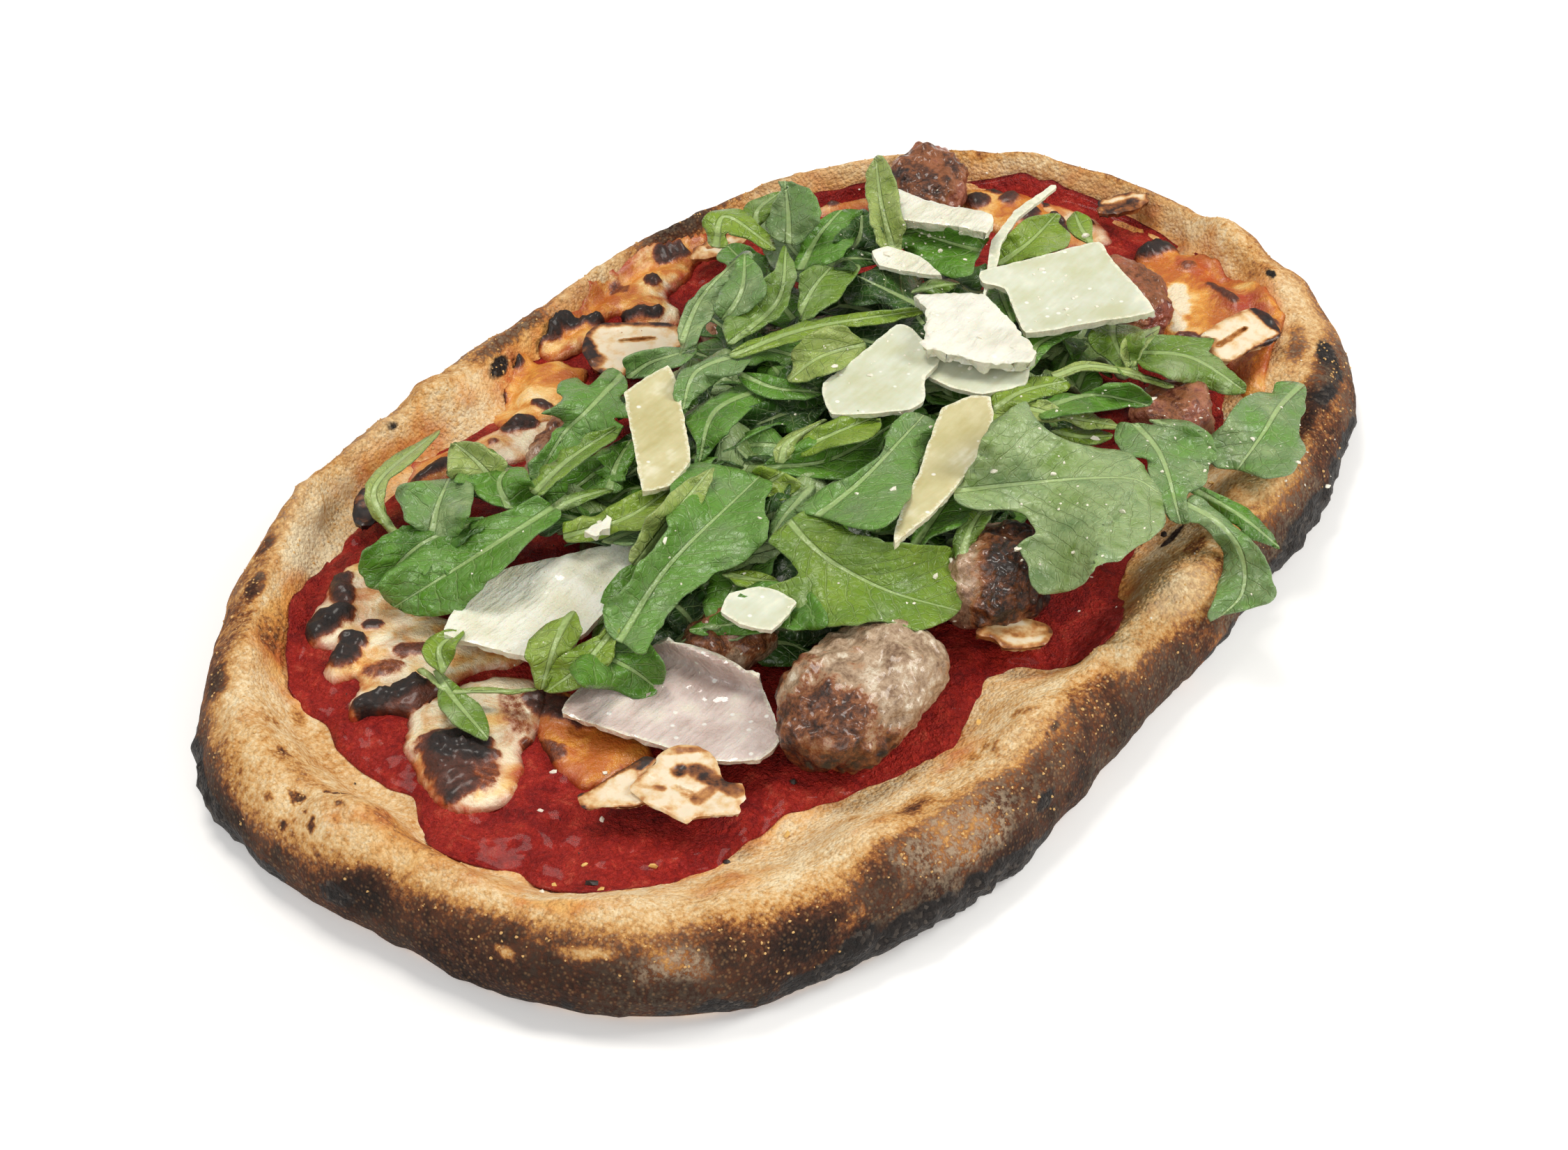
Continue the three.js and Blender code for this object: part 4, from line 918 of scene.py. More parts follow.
# The same for films of cheese baked into the sauce, too thin for solids of their own
FILMS = [
    ("film_back", "134,44 139,36 142,24 144,12 142,3 136,-3 128,3 124,12 125,24 127,36", 1.2, 0.3, 0.5),
    ("film_far_end", "118,52 124,62 116,70 104,76 96,78 92,72 100,66 110,60", 1.1, 0.2, 0.5),
    ("film_far", "-30,80 -20,80 -12,74 -6,69 -10,63 -19,62 -27,67 -34,73", 1.3, 0.2, 0.5),
    ("film_far_left", "-44,84 -36,87 -28,83 -25,77 -31,73 -39,75 -46,79", 1.2, 0.4, 0.6)]
# How far a cheese runs over the sauce's edge, in mm, where it does
SPILL = {"cheese_right": 13, "cheese_far_left": 3, "cheese_far_side": 3, "film_back": 3, "film_far_left": 3}
# Blisters on the cheese: a spot, or the two ends of a long one, in the plan, radius, rise, how dark
BLISTERS = [
    ("-83.9,69.6 -88.5,64.4", 3.2, 1.4, 0.8), ("-99.8,63 -93.4,61.9", 3.9, 2.2, 1),
    ("-104.5,51.9 -99.7,52.5", 4.1, 2.4, 0.97), ("-92,54.3 -91.1,53", 1.9, 1, 0.8),
    ("-95.1,41.7 -91.9,39.2", 2.6, 0.6, 0.55), ("-104.2,43.1 -100.9,40.9", 3.2, 0.6, 0.45),
    ("-115,37.2 -102.2,31.9", 2.9, 2.2, 0.95), ("-110.7,31.8 -102.4,29.3", 4.2, 1, 0.62),
    ("-114.9,14.8 -122.8,4.6", 5.6, 1.6, 0.72), ("-115,13 -113,7.8", 5.4, 2.4, 0.97),
    ("-126.2,2.9", 2.2, 1.2, 0.9), ("-112.8,5.9 -118.9,1", 4.6, 0.5, 0.5),
    ("-94.9,12.3 -100,5.4", 3, 0.4, 0.34), ("-90.5,6 -89,-4.3", 5, 1.2, 0.75),
    ("-103,0 -101.6,-6.3", 2.8, 0.5, 0.5), ("0.8,91.8 5.7,89.9", 3, 2, 0.97),
    ("-0.6,91.4 -5.8,86.2", 2.7, 1.6, 0.88), ("23.9,89.8 31.2,83.4", 2.5, 2.4, 1),
    ("16.2,90.4 21,88.7", 2.4, 2, 0.97), ("36.7,79.3 42,73.1", 2.4, 1.8, 0.93), ("52.4,81.8", 2.4, 1.6, 0.85),
    ("-15.5,74.3 -11.7,71.3", 2.6, 1.6, 0.85), ("-4.7,74.6 -4.4,71.7", 1.8, 1.2, 0.8),
    ("63,86 68,84", 2.6, 1.8, 0.8), ("46,87", 3.5, 0.6, 0.5), ("135.6,-14 145.4,-17", 3.6, 2.4, 0.97),
    ("122,-20", 3, 1, 0.5), ("109,-40 114,-50", 2.6, 1.2, 0.6), ("132.5,-34 127,-44", 1.7, 0.8, 0.62),
    ("136,-26", 2.5, 0.8, 0.45), ("122,-57", 3, 1, 0.55), ("132,20", 4, 2, 0.8), ("130,34", 4, 2, 0.85),
    ("136,28", 3, 1.4, 0.7), ("139,36 137,32", 1.6, 1.2, 0.9), ("141,20", 1.4, 1, 0.85),
    ("136,14 133,9", 1.8, 1.2, 0.8), ("140,6", 1.5, 1.2, 0.95), ("129,16", 1.3, 0.8, 0.7),
    ("110,66", 2, 1.2, 0.8), ("120,58", 1.6, 1, 0.9), ("101,73", 1.5, 1, 0.7), ("-12,71", 2.2, 1.4, 0.75),
    ("-22,74", 1.6, 0.8, 0.5), ("-42,81 -30,76", 2.2, 1.6, 0.92)]
# Streaks, pale where the cheese lies thick and white, and red where sauce has boiled over it: what they change,
# how much, their two ends and radius
STREAKS = [
    ("orange", -1, "126.2,-28.3 111.7,-36.8", 3.2), ("orange", -0.6, "-109,24 -88,10", 5),
    ("thin", 0.75, "131,-37 126.6,-49.8", 4.5), ("thin", 0.6, "138,-24 134,-32", 4),
    ("orange", -0.7, "50,72 56,78", 4)]


def make_cheese(name, shape, thick, oily, sheer, film=False):
    """A melted pool that follows the ground, with its blisters. A film stands for no solid."""
    seed = 50 + sum(map(ord, name)) % 40
    outline = numbers(shape) if isinstance(shape, str) else round_about(*shape, seed)
    outline = closed_curve(outline, CHEESE_STEP, soft=1.0)
    outline = frayed(outline, raised(outline, seed), 0.7, 4.5, 3)
    # It stays just within the sauce's edge, unless it spills over
    off = outline - CENTRE
    t, r = np.arctan2(off[:, 1], off[:, 0]), np.hypot(off[:, 0], off[:, 1])
    most = sauce_edge(t) - 1.2 + SPILL.get(name, 0)
    outline = CENTRE + off * np.minimum(1, most / r)[:, None]
    points, faces, gap = fill(outline, CHEESE_FILL, seed)
    x, y = points[:, 0], points[:, 1]
    place = raised(points, seed)
    swell = 0.5 + 0.5 * swells(place, 7, 7, 3)
    body = np.sqrt(np.clip(1 - (1 - np.clip(gap / 2.2, 0, 1)) ** 2, 0, 1))
    rise = thick * body * (0.35 + 0.4 * smooth(0, 5, gap) + 0.4 * swell)
    brown, hill = np.zeros(len(points)), np.zeros(len(points))
    ragged = 0.2 * swells(place, 4, 77, 2) + 0.14 * swells(place, 1.7, 78, 2)
    for ends, size, height, dark in BLISTERS:
        near = away(points, numbers(ends)) / size + ragged
        hill = np.maximum(hill, height * np.sqrt(np.clip(1 - near ** 2, 0, 1)))
        brown = np.maximum(brown, dark * smooth(1.18, 0.6, near))
    hill *= 1 + 0.45 * swells(place, 1.9, 79, 2)
    z = ground(x, y) + rise + hill * smooth(0.1, 0.8, body) - 0.35 * (1 - body)
    orange = np.clip(oily + 0.5 * swells(place, 9, 8, 3), 0, 1)
    thin = np.clip(sheer * (1 - 0.6 * swell) + 0.55 * smooth(2.6, 0.4, gap) - 0.2 * thick * body * swell, 0, 1)
    kept = {"brown": brown, "thin": thin, "orange": orange}
    for kind, strength, ends, size in STREAKS:
        near = away(points, numbers(ends)) / size + ragged
        kept[kind] = np.clip(kept[kind] + strength * smooth(1.1, 0.4, near), 0, 1)
    obj = sheet_object(name + "_melted", np.column_stack([points, z]), faces, CHEESE_DEPTH, kept)
    return dress(obj, MELTED, "melted_cheese", *([] if film else [name]))


# Garlic

# The same distances for garlic
GARLIC_STEP, GARLIC_FILL = 0.6, 0.65
# Name, outline in the plan or an oval, height, thickness, rise along +X and +Y, curl at the edges, how toasted
# its rim is, and its burnt marks and slit: ends, radius, how dark, how deep
GARLIC_SLICES = [
    ("garlic_far", "3.5,66.2 8.3,69.3 13.9,70.5 17,68.1 21.4,61.8 25.2,56.3 24.3,51.4 21.3,48.2 16.4,47.7 "
     "10.2,51.5 5.6,53.2 1.2,52.1 -0.7,55.8 -0.3,60.2", 19.6, 2.4, 0, 0, 0.5, 0.7, (("12.6,61.2 17.9,55.5", 0.9,
     0.42, 0.9), ("2,62 7,69.5", 3, 0.8, 0), ("9,71 15,71", 2.4, 0.78, 0), ("17,70 27,54", 2.1, 0.74, 0))),
    ("garlic_left_upper", "-122.6,-28.4 -125.5,-31.7 -122.3,-35.5 -119.3,-39.6 -116.8,-41.3 -113.6,-41.7 "
     "-112.3,-37.8 -109.1,-35.7 -105.6,-35.8 -104.3,-35 -105.1,-32.7 -109.8,-31.6 -115.4,-30.4 -120.5,-29.6",
     20.3, 1.5, 0, 0, 0.9, 0.3, (("-124.5,-28 -113.6,-30.4", 0.9, 0.85, 0), ("-113.6,-30 -108,-32.4", 1, 0.8,
     0), ("-108,-33 -104.8,-33.6", 1.8, 0.85, 0), ("-125.5,-31.7", 1.2, 0.8, 0), ("-123,-36 -117,-42", 0.6, 0.6,
     0))),
    ("garlic_left_lower", "-104.3,-35 -101.8,-34.8 -97.9,-36.5 -96.1,-39.8 -96.2,-41.6 -96.3,-43.4 -98.1,-46.6 "
     "-101.7,-50.9 -100.5,-54.5 -103.6,-57.6 -106.2,-57.7 -108.4,-59.3 -114,-52.7 -117,-52.1 -117,-47.7 "
     "-116.9,-42.3 -115.9,-38 -114.3,-35.8 -109.1,-35.7 -105.6,-35.8", 20.9, 1.6, 0, 0, 1.1, 0.22,
     (("-104.6,-41.4", 2.1, 0.75, 0.5), ("-102.4,-44.2 -103,-54.5", 2.3, 0.72, 0), ("-109.9,-49.7 -106,-50.2",
     1.5, 0.6, 0), ("-102.1,-34.6 -96,-41.5", 1.2, 0.45, 0), ("-109.2,-43.8 -109.3,-47.5", 1.1, 0.35, 0.6),
     ("-113,-37 -111,-42", 0.8, 0.4, 0))),
    ("garlic_front", "-30.7,-67.6 -27.2,-67.6 -23.3,-70.2 -20.3,-75.5 -20.1,-79.9 -22.1,-82 -26,-82.6 "
     "-29.6,-79.5 -32.2,-75.8 -30.5,-72 -31.6,-69.1", 18.9, 2, -0.1, 0.1, 0.6, 0.6, (("-27,-75.5", 1.1, 0.6,
     0.3), ("-30,-70 -22,-80", 2, 0.36, 0.2))),
    ("garlic_right", "94,-52.3 101.7,-53.3 108.5,-55.2 111.7,-57.3 111.6,-61.3 108.9,-65.1 106.1,-67.8 "
     "102.8,-68.1 96.9,-65.6 89.5,-64 87.6,-61.3 88,-58.8 89.9,-57.1 94.4,-55.9", 24, 2.4, 0.1, 0.16, 0.4, 0.35,
     (("92.9,-57.9 102.7,-59.7", 1, 0.5, 0.9), ("89,-65 106,-68.6", 1.5, 0.9, 0), ("112,-57 107,-68", 1.7, 0.9,
     0))),
    ("garlic_far_right", (71, 75, 8, 4, -16), 19, 2, 0, 0, 0.5, 0.5, (("69,76 74,74", 0.8, 0.6, 0.6),)),
    ("garlic_far_burnt", (-63, 79, 7, 3.5, 35), 19, 1.8, 0, 0.1, 0.5, 1, (("-66,77 -60,81", 3, 0.9, 0),)),
    ("garlic_right_end", (146, 0, 7, 4, -30), 19.6, 2, 0, 0, 0.5, 0.7, (("142,2 148,-2", 2, 0.8, 0),))]


def make_garlic(name, shape, level, thick, along, across, curl, toasted, burns):
    """A slice, curled and toasted at its edge. One seen from above is laid on the line of sight."""
    seed = 130 + sum(map(ord, name)) % 40
    seen = isinstance(shape, str)
    outline = closed_curve(numbers(shape) if seen else round_about(*shape, seed), GARLIC_STEP, soft=0.75)
    outline = frayed(outline, raised(outline, seed), 0.2, 2, 5)
    points, faces, gap = fill(outline, GARLIC_FILL, seed)
    place = raised(points, seed)
    middle = outline.mean(0)
    span = np.linalg.norm(outline - middle, axis=1).max()
    off = points - middle
    z = level + off @ np.array([along, across]) + curl * (np.linalg.norm(off, axis=1) / span) ** 2
    z = z + 0.5 * swells(place, 7, 7, 2) + 0.12 * swells(place, 1.6, 8, 2) - 0.5 * smooth(0.9, 0, gap)
    brown = toasted * smooth(2.6, 0.2, gap + 0.9 * swells(place, 3, 9, 2)) + 0.1 * swells(place, 4, 10, 2)
    for ends, size, dark, deep in burns:
        near = away(points, numbers(ends)) / size + 0.16 * swells(place, 2, 11, 2)
        brown = np.maximum(brown, dark * smooth(1.35, 0.6, near))
        z = z - deep * smooth(1, 0.2, near)
    top = sight(points, z + thick / 2) if seen else np.column_stack([points, z + thick / 2])
    obj = sheet_object(name + "_slice", top, faces, thick, {"brown": np.clip(brown, 0, 1)})
    made = dress(obj, GARLIC, "garlic", name)
    bpy.ops.object.shade_smooth_by_angle(angle=math.radians(50))
    return made


# Sausage

# The height at which the lumps stand in the sauce
SAUSAGE_FOOT = 12.9
# Name, x, y, half length, half width, turn, top, direction of the browned side, how brown, how saucy, how often
# the ball's faces are halved
SAUSAGE_LUMPS = [
    ("sausage_front_left", -56, -54.5, 22.5, 15, 2, 33.5, (-0.8, 0.1, -0.35), 0.66, 0.03, 6),
    ("sausage_front_middle", -4, -56, 16, 12, 10, 32, (0.2, -0.7, 0.45), 0.85, 0.3, 6),
    ("sausage_front_right", 73, -58, 11, 9, -20, 29, (0, 0, 1), 0.35, 0.8, 5),
    ("sausage_right", 110, -26, 15, 8.5, 38, 27, (0, 0, 1), 0.5, 0.9, 6),
    ("sausage_back", 124, 46, 15, 10, 20, 27.5, (0, 0, 1), 0.7, 0.8, 6),
    ("sausage_far_left", -22, 58, 17, 5, 18, 22.5, (0, 0, 1), 0.55, 0.3, 5),
    ("sausage_left_middle", -22, 40, 9, 6, 10, 24, (0, 0, 1), 0.45, 0.1, 5),
    ("sausage_far_middle", 40, 50, 7, 5, 10, 24, (0, 0, 1), 0.5, 0.2, 5),
    ("sausage_middle", -6, 12, 8, 6, 30, 25.5, (0, 0, 1), 0.4, 0.1, 5),
    ("sausage_left", -53, -19, 12, 8, -15, 25.5, (0, 0, 1), 0.6, 0.1, 5)]


def make_sausage(name, x, y, a, b, turn, top, side, brown, red, levels):
    """A lump of minced meat, crumbly all over and seared on its browned side."""
    obj = add(bpy.ops.mesh.primitive_ico_sphere_add, name + "_roast", subdivisions=levels, radius=1)
    ball = points_of(obj)
    seed = 90 + int(abs(x) + abs(y))
    flat = np.hypot(ball[:, 0], ball[:, 1])
    level = SAUSAGE_FOOT + (top - SAUSAGE_FOOT) * (0.5 + 0.5 * np.sign(ball[:, 2]) * np.abs(ball[:, 2]) ** 0.9)
    wide = np.clip(flat, 1e-6, 1) ** 0.72 / np.clip(flat, 1e-6, 1)
    shape = np.column_stack([*turned(a * ball[:, 0] * wide, b * ball[:, 1] * wide, turn, x, y), level])
    out = np.column_stack([ball[:, 0] / a, ball[:, 1] / b, ball[:, 2] / (top - SAUSAGE_FOOT) * 2])
    out /= np.linalg.norm(out, axis=1, keepdims=True)
    out = np.column_stack([*turned(out[:, 0], out[:, 1], turn), out[:, 2]])
    near, second = grains(shape, 3.6, seed)
    push = 1.7 * swells(shape, 13, seed, 2) + 0.95 * swells(shape, 4.4, seed + 1, 3)
    push += 0.5 * smooth(0, 0.5, second - near) - 0.5
    heat = shape - np.array([x, y, (top + SAUSAGE_FOOT) / 2])
    heat = heat @ (np.array(side) / np.linalg.norm(side)) / (0.5 * (a + b))
    heat = heat + 0.45 * swells(shape, 8, seed + 2, 3)
    seared = brown * smooth(-0.1, 0.75, heat) + 0.25 * smooth(0.4, 0.9, swells(shape, 6, seed + 3, 2))
    push += 0.7 * seared * (1 + swells(shape, 2, seed + 4, 2))
    set_points(obj, shape + out * push[:, None])
    note(obj, "brown", np.clip(seared, 0, 1))
    note(obj, "red", np.clip(red + 0.5 * smooth(18, 14, shape[:, 2]), 0, 1))
    return dress(obj, SAUSAGE, "sausage", name)


# Rocket

# Thickness, and the points' distance on leaves that are looked at and on hidden ones, in mm
LEAF_THICKNESS, LEAF_STEP, HIDDEN_STEP = 0.45, 1.15, 1.9
# Half width along the rib of each kind of leaf, as a share of the stated one
LEAF_KINDS = {
    "spoon": [0.2, 0.3, 0.5, 0.78, 0.95, 1, 0.98, 0.85, 0.55, 0.05],
    "strap": [0.4, 0.7, 0.9, 1, 1, 0.97, 0.9, 0.78, 0.5, 0.05],
    "oval": [0.12, 0.5, 0.8, 0.96, 1, 0.96, 0.85, 0.66, 0.4, 0.05],
    "oak": [0.25, 0.75, 1, 0.62, 0.5, 0.95, 0.95, 0.5, 0.55, 0.05],
    "jag": [0.3, 0.75, 0.45, 1, 0.5, 1, 0.5, 0.85, 0.35, 0.05],
    "stem": [1, 1, 1, 1, 1, 1, 1, 1, 1, 0.6]}
# Leaf, how light (its own green, and for the darkest partly painted shade where it lies under others), roll,
# cup, rib from base to tip (x and y in the plan, height), and its outline in the plan or its kind with left and
# right half width
LEAVES = [
    ("a1", 0.3, 0, 12, "-48,35,31 -70,38,30 -97,42,22", "-97,44 -95,47 -90,51 -84,51 -75,50 -68,45 -63,47 "
     "-58,45 -52,42 -47,41 -48,35 -50,32 -60,32 -75,30 -88,29 -95,33 -97,40"),
    ("a1b", 0.2, 0, 10, "-60,44,30 -75,51,28 -93,50,22", "-95,50 -90,58 -82,60 -74,58 -64,50 -60,44 -72,44 "
     "-88,46"),
    ("a2a", 0.42, 0, 15, "-73,51,27 -63,57,31 -52,62,31", "-72,46 -60,50 -52,56 -58,66 -66,67 -71,58"),
    ("a2b", 0.97, 25, 10, "-50,49,28 -45,60,31 -42,70,33", "-54,60 -48,66 -43,70 -40,65 -41,56 -45,53 -52,50 "
     "-54,55"),
    ("a3", 0.97, 30, 10, "-77,58,24 -66,73,26 -42,75,24", "strap 2.6 2.2"),
    ("a4", 0.25, 10, 10, "-54,44,30 -48,51,32 -40,53,31", "-52,57 -47,55 -42,51 -41,48 -47,42 -53,42 -55,47"),
    ("a6a", 0.7, 0, 12, "-47,42,31 -32,43,33 -14,41,32", "jag 4 4"),
    ("a7", 0.25, 0, 10, "-37,28,28 -27,33,30 -17,36,29", "jag 4 4"),
    ("a8", 0.62, 0, 10, "-51,34,31 -44,33,32 -35,28,30", "oval 2.6 2.6"),
    ("a9", 0.8, -8, 10, "-55,26,29 -42,19,32 -27,17,33", "-52,30 -50,29 -47,28 -45,25 -40,24 -35,24 -30,22 "
     "-26,19 -27,16 -30,13 -35,12 -40,13 -44,14 -48,17 -51,18 -54,21 -56,25 -55,27"),
    ("a10", 0.42, 0, 0, "-53,18,27 -46,15,28 -39,11,27", "oval 3.5 3.5"),
    ("a11", 0.33, 0, 14, "-79,-6,28 -50,1,33 -13,3,34", "-73,3 -65,4 -50,7 -40,9 -33,14 -25,18 -17,18 -14,12 "
     "-13,8 -13,0 -18,-2 -27,-9 -33,-12 -45,-10 -60,-8 -70,-10 -79,-12"),
    ("a11b", 0.86, 0, 8, "-76,9,30 -87,5,29 -101,-2,22", "oval 4.5 5.5"),
    ("a11c", 0.8, 0, 8, "-74,-2,29 -88,-4,27 -101,-3,22", "spoon 5 6"),
    ("a11d", 0.25, 0, 8, "-84,-3,27 -84,-13,25 -86,-22,20", "-90,-2 -94,-8 -92,-14 -90,-22 -84,-22 -78,-18 "
     "-74,-10 -74,-4"),
    ("a11e", 0.97, -35, 6, "-54,7,33 -34,11,37 -16,14,38", "strap 4.5 3.5"),
    ("a12", 0.8, 0, 10, "-108,19,22 -102,25,24 -94,25,24", "oval 4 3.5"),
    ("a13", 0.8, 0, 8, "-46,-11,30 -44,-17,29 -41,-23,28", "oval 3 3"),
    ("c0", 0.8, 0, 8, "-17,2,30 -12,0,32 -6,-1,32", "-17,-5 -14,-6 -8,-6 -8,4 -14,6 -18,3"),
    ("b15", 0.25, 0, 10, "-9,4,31 3,-7,32 27,-12,33", "-10,4 -8,0 -5,-8 0,-14 10,-15 18,-13 25,-13 27,-10 "
     "20,-6 10,0 0,4"),
    ("b14", 0.8, -6, 14, "-2,2,34 9,-1,36 22,-6,35", "-5,3 0,1 7,3 12,3 20,0 22,-4 20,-9 15,-10 8,-5 0,-1"),
    ("b14b", 0.97, -30, 0, "-5,2,34 2,5,37 14,3,36", "strap 2.2 2.6"),
    ("b12", 0.25, 0, -10, "17,22,32 2,26,35 -17,17,30", "-17,17 -10,22 -5,30 0,31 8,30 16,27 16,18 5,20 -5,19"),
    ("b13", 0.05, 0, 12, "21,7,29 9,13,29 -3,17,26", "oval 7 7"),
    ("b11", 0.42, 0, 6, "3,5,29 -3,8,29 -10,6,28", "oval 3 3"),
    ("b10", 0.97, 0, 14, "47,11,35 35,18,38 22,19,36", "22,19 27,22 35,26 45,25 48,22 47,14 44,11 38,11 30,13 "
     "24,16"),
    ("b9", 0.25, 0, 10, "18,30,34 18,20,34 23,9,33", "oval 4 4"),
    ("b7", 0.42, 0, -8, "27,33,35 13,39,38 -3,32,34", "-3,32 3,38 10,42 18,40 24,36 26,32 20,30 8,33"),
    ("b16", 0.8, -15, 8, "23,36,37 43,27,39 67,7,36", "strap 3 3.4"),
    ("b3", 0.5, 0, 12, "16,47,33 38,56,36 61,59,37", "15,46 18,48 25,54 35,58 50,59 61,59 58,55 45,52 30,48"),
    ("b4", 0.42, 0, 8, "1,51,31 10,50,33 21,44,33", "oval 5 5"),
    ("b5", 0.42, 0, 16, "34,46,34 47,50,38 61,59,39", "oval 5.5 5.5"),
    ("b17", 0.62, 0, 14, "27,39,35 48,40,37 69,52,39", "27,40 35,47 45,48 58,48 69,52 62,44 55,40 45,37 30,38"),
    ("b2", 0.8, 20, 6, "58,66,40 71,72,43 66,53,38", "strap 4 4"),
    ("b1a", 0.62, 0, 8, "70,62,38 78,67,40 88,67,40", "oval 3.5 4"),
    ("b1b", 0.42, 10, 14, "67,50,37 80,59,42 94,70,46", "72,60 80,64 88,67 92,70 93,66 92,60 87,54 78,51 "
     "70,51"),
    ("b18", 0.25, 0, 14, "62,43,36 78,48,39 93,50,41", "62,44 68,48 78,52 89,51 92,44 80,40 70,38"),
    ("b18b", 0.05, 0, 10, "70,37,35 82,39,38 94,46,39", "oval 6 6"),
    ("b6", 0.97, 0, 20, "79,26,36 97,42,42 115,56,46", "strap 4 4.5"),
    ("b19", 0.05, 0, 10, "67,38,37 73,36,38 77,29,36", "oval 5 5"),
    ("b20", 0.62, 0, 12, "42,31,36 58,36,39 72,38,38", "44,30 52,37 60,42 66,41 69,36 72,31 60,29"),
    ("b21", 0.05, 0, -8, "66,10,33 67,20,37 68,30,38", "57,26 60,29 68,29.5 76,27 80,24 78,18 72,14 66,10 "
     "62,13 60,20"),
    ("c2", 0.25, 0, 10, "95,9,32 93,21,35 93,35,37", "85,30 90,33 96,36 98,28 99,20 101,12 95,10 85,8 80,14"),
    ("c3", 0.8, 0, 10, "91,4,31 105,3,33 119,4,30", "92,5 98,8 105,9 113,8 118,6 120,3 117,1 113,-4 108,-6 "
     "98,0"),
    ("c3b", 0.8, 0, 8, "112,-12,27 117,-5,28 123,1,28", "spoon 3 3"),
    ("c4", 0.62, 0, 8, "70,15,35 76,11,35 80,7,34", "oval 3 3"),
    ("c5", 0.25, 0, 8, "87,1,31 80,-5,32 71,-14,31", "oval 4 5"),
    ("c6", 0.25, 0, 8, "59,-26,33 69,-22,34 81,-27,33", "oval 5 3"),
    ("c7", 0.62, 0, 14, "89,-31,31 81,-36,32 71,-46,30", "80,-29 84,-30 88,-36 88,-40 82,-43 73,-47 70,-46 "
     "72,-42 75,-35"),
    ("c8", 0.97, 0, 10, "92,-42,30 82,-41,32 72,-46,30", "oval 3 3"),
    ("e4", 0.62, 0, 14, "79,-42,30 85,-55,29 80,-74,23", "78,-43 88,-43 91,-48 95,-55 90,-57 88,-62 83,-70 "
     "80,-73 77,-70 76,-62 74,-55"),
    ("e5", 0.25, 0, 10, "49,-37,34 59,-44,34 63,-58,31", "44,-38 51,-35 55,-37 58,-41 64,-43 67,-47 67,-53 "
     "64,-57 60,-55 56,-50 52,-45"),
    ("e6", 0.97, 0, 12, "45,-32,35 48,-44,34 52,-56,31", "oak 4.5 4"),
    ("e7", 0.8, 0, 0, "41,-43,31 43,-50,31 48,-56,29", "oval 3.5 3"),
    ("e8", 0.8, 0, -12, "39,-27,35 50,-29,37 61,-36,34", "36,-28 40,-28 44,-24 50,-26 56,-28 60,-33 59,-37 "
     "55,-37 48,-33 40,-31"),
    ("e9", 0.97, 0, 0, "60,-32,33 69,-38,33 73,-57,30", "stem 1.4 1.4"),
    ("e1", 0.53, 0, 10, "10,-38,38 20,-48,39 30,-59,40 36,-68,39 35,-75,36", "8,-37 20,-34 33,-30 40,-30 "
     "48,-32 45,-36 41,-42 40,-50 42,-57 44,-62 43,-67 40,-70 35,-75 27,-82 18,-82 10,-81 4,-78 -5,-78 -10,-75 "
     "-10,-70 -5,-65 0,-60 8,-59 10,-52 6,-44"),
    ("e2", 0.42, 0, 12, "56,-55,36 47,-69,35 27,-86,31", "46,-57 52,-54 55,-58 60,-68 58,-75 54,-80 50,-80 "
     "45,-83 38,-82 30,-86 27,-84 32,-78 38,-72 44,-67 43,-62"),
    ("e2b", 0.42, 0, 8, "58,-60,34 58,-70,34 53,-81,32", "oval 4 3.5"),
    ("e10", 0.42, 0, 10, "35,-82,32 33,-92,29 26,-102,24 14,-109,20 2,-109,17", "30,-85 30,-90 25,-98 15,-103 "
     "2,-107 5,-110 15,-115 20,-114 30,-105 36,-92 38,-82"),
    ("e10b", 0.25, 0, 0, "41,-80,31 38,-95,27 33,-108,18", "strap 3 3"),
    ("e3", 0.42, 0, 8, "92,-82,26 80,-82,29 68,-84,29.5 52,-86,27", "52,-82 55,-76 60,-74.5 68,-74 75,-73 "
     "82,-75 83,-78 88,-77 91,-82 85,-86 75,-90 67,-95 58,-96 54,-92 53,-86"),
    ("d1a", 0.37, 0, 10, "-20,-16,37 0,-17,39 30,-15,37", "-18,-12 -10,-12 0,-14 10,-15 18,-12 26,-11 29,-14 "
     "28,-20 20,-22 10,-26 0,-30 -9,-31 -14,-28 -16,-20"),
    ("d1b", 0.7, 0, 8, "-22,-12,37 -26,-20,37 -29,-30,36 -30,-45,33 -27,-61,27", "-30,-12 -33,-18 -37,-24 "
     "-40,-24 -47,-22 -50,-35 -45,-43 -40,-48 -37,-57 -28,-61 -25,-60 -12,-56 -9,-50 -10,-45 -14,-38 -17,-30 "
     "-17,-25 -14,-14"),
    ("d2", 0.25, 0, 10, "-38,-27,32 -52,-28,30 -65,-17,27", "-66,-16 -55,-18 -44,-20 -40,-30 -48,-40 -55,-32 "
     "-64,-22"),
    ("d3", 0.42, 0, 6, "-8,-9,32 -20,-10,32 -29,-12,31", "strap 2.5 2.5"),
    ("d4", 0.25, 0, 8, "-12,-40,31 0,-38,33 13,-36,34", "spoon 5 7"),
    ("d5", 0.62, 0, 20, "-11,-51,30 0,-47,33 11,-45,34", "strap 3 3"),
    ("s2", 0.62, 0, 10, "-108.8,21,20 -113.7,11.3,20.5 -119.5,-2.2,19.5", "spoon 3.6 3.6"),
    ("s3", 0.97, 0, 0, "-109.8,24,20 -111.9,14,21 -101.4,-0.5,22", "stem 0.8 0.8"),
    ("f1", 0.25, 0, 10, "42,29,29 53,49,29 61,65,25", "oak 9 8"),
    ("f2", 0.42, 0, 10, "59,30,31 68,49,30 79,65,27", "oval 8 7"),
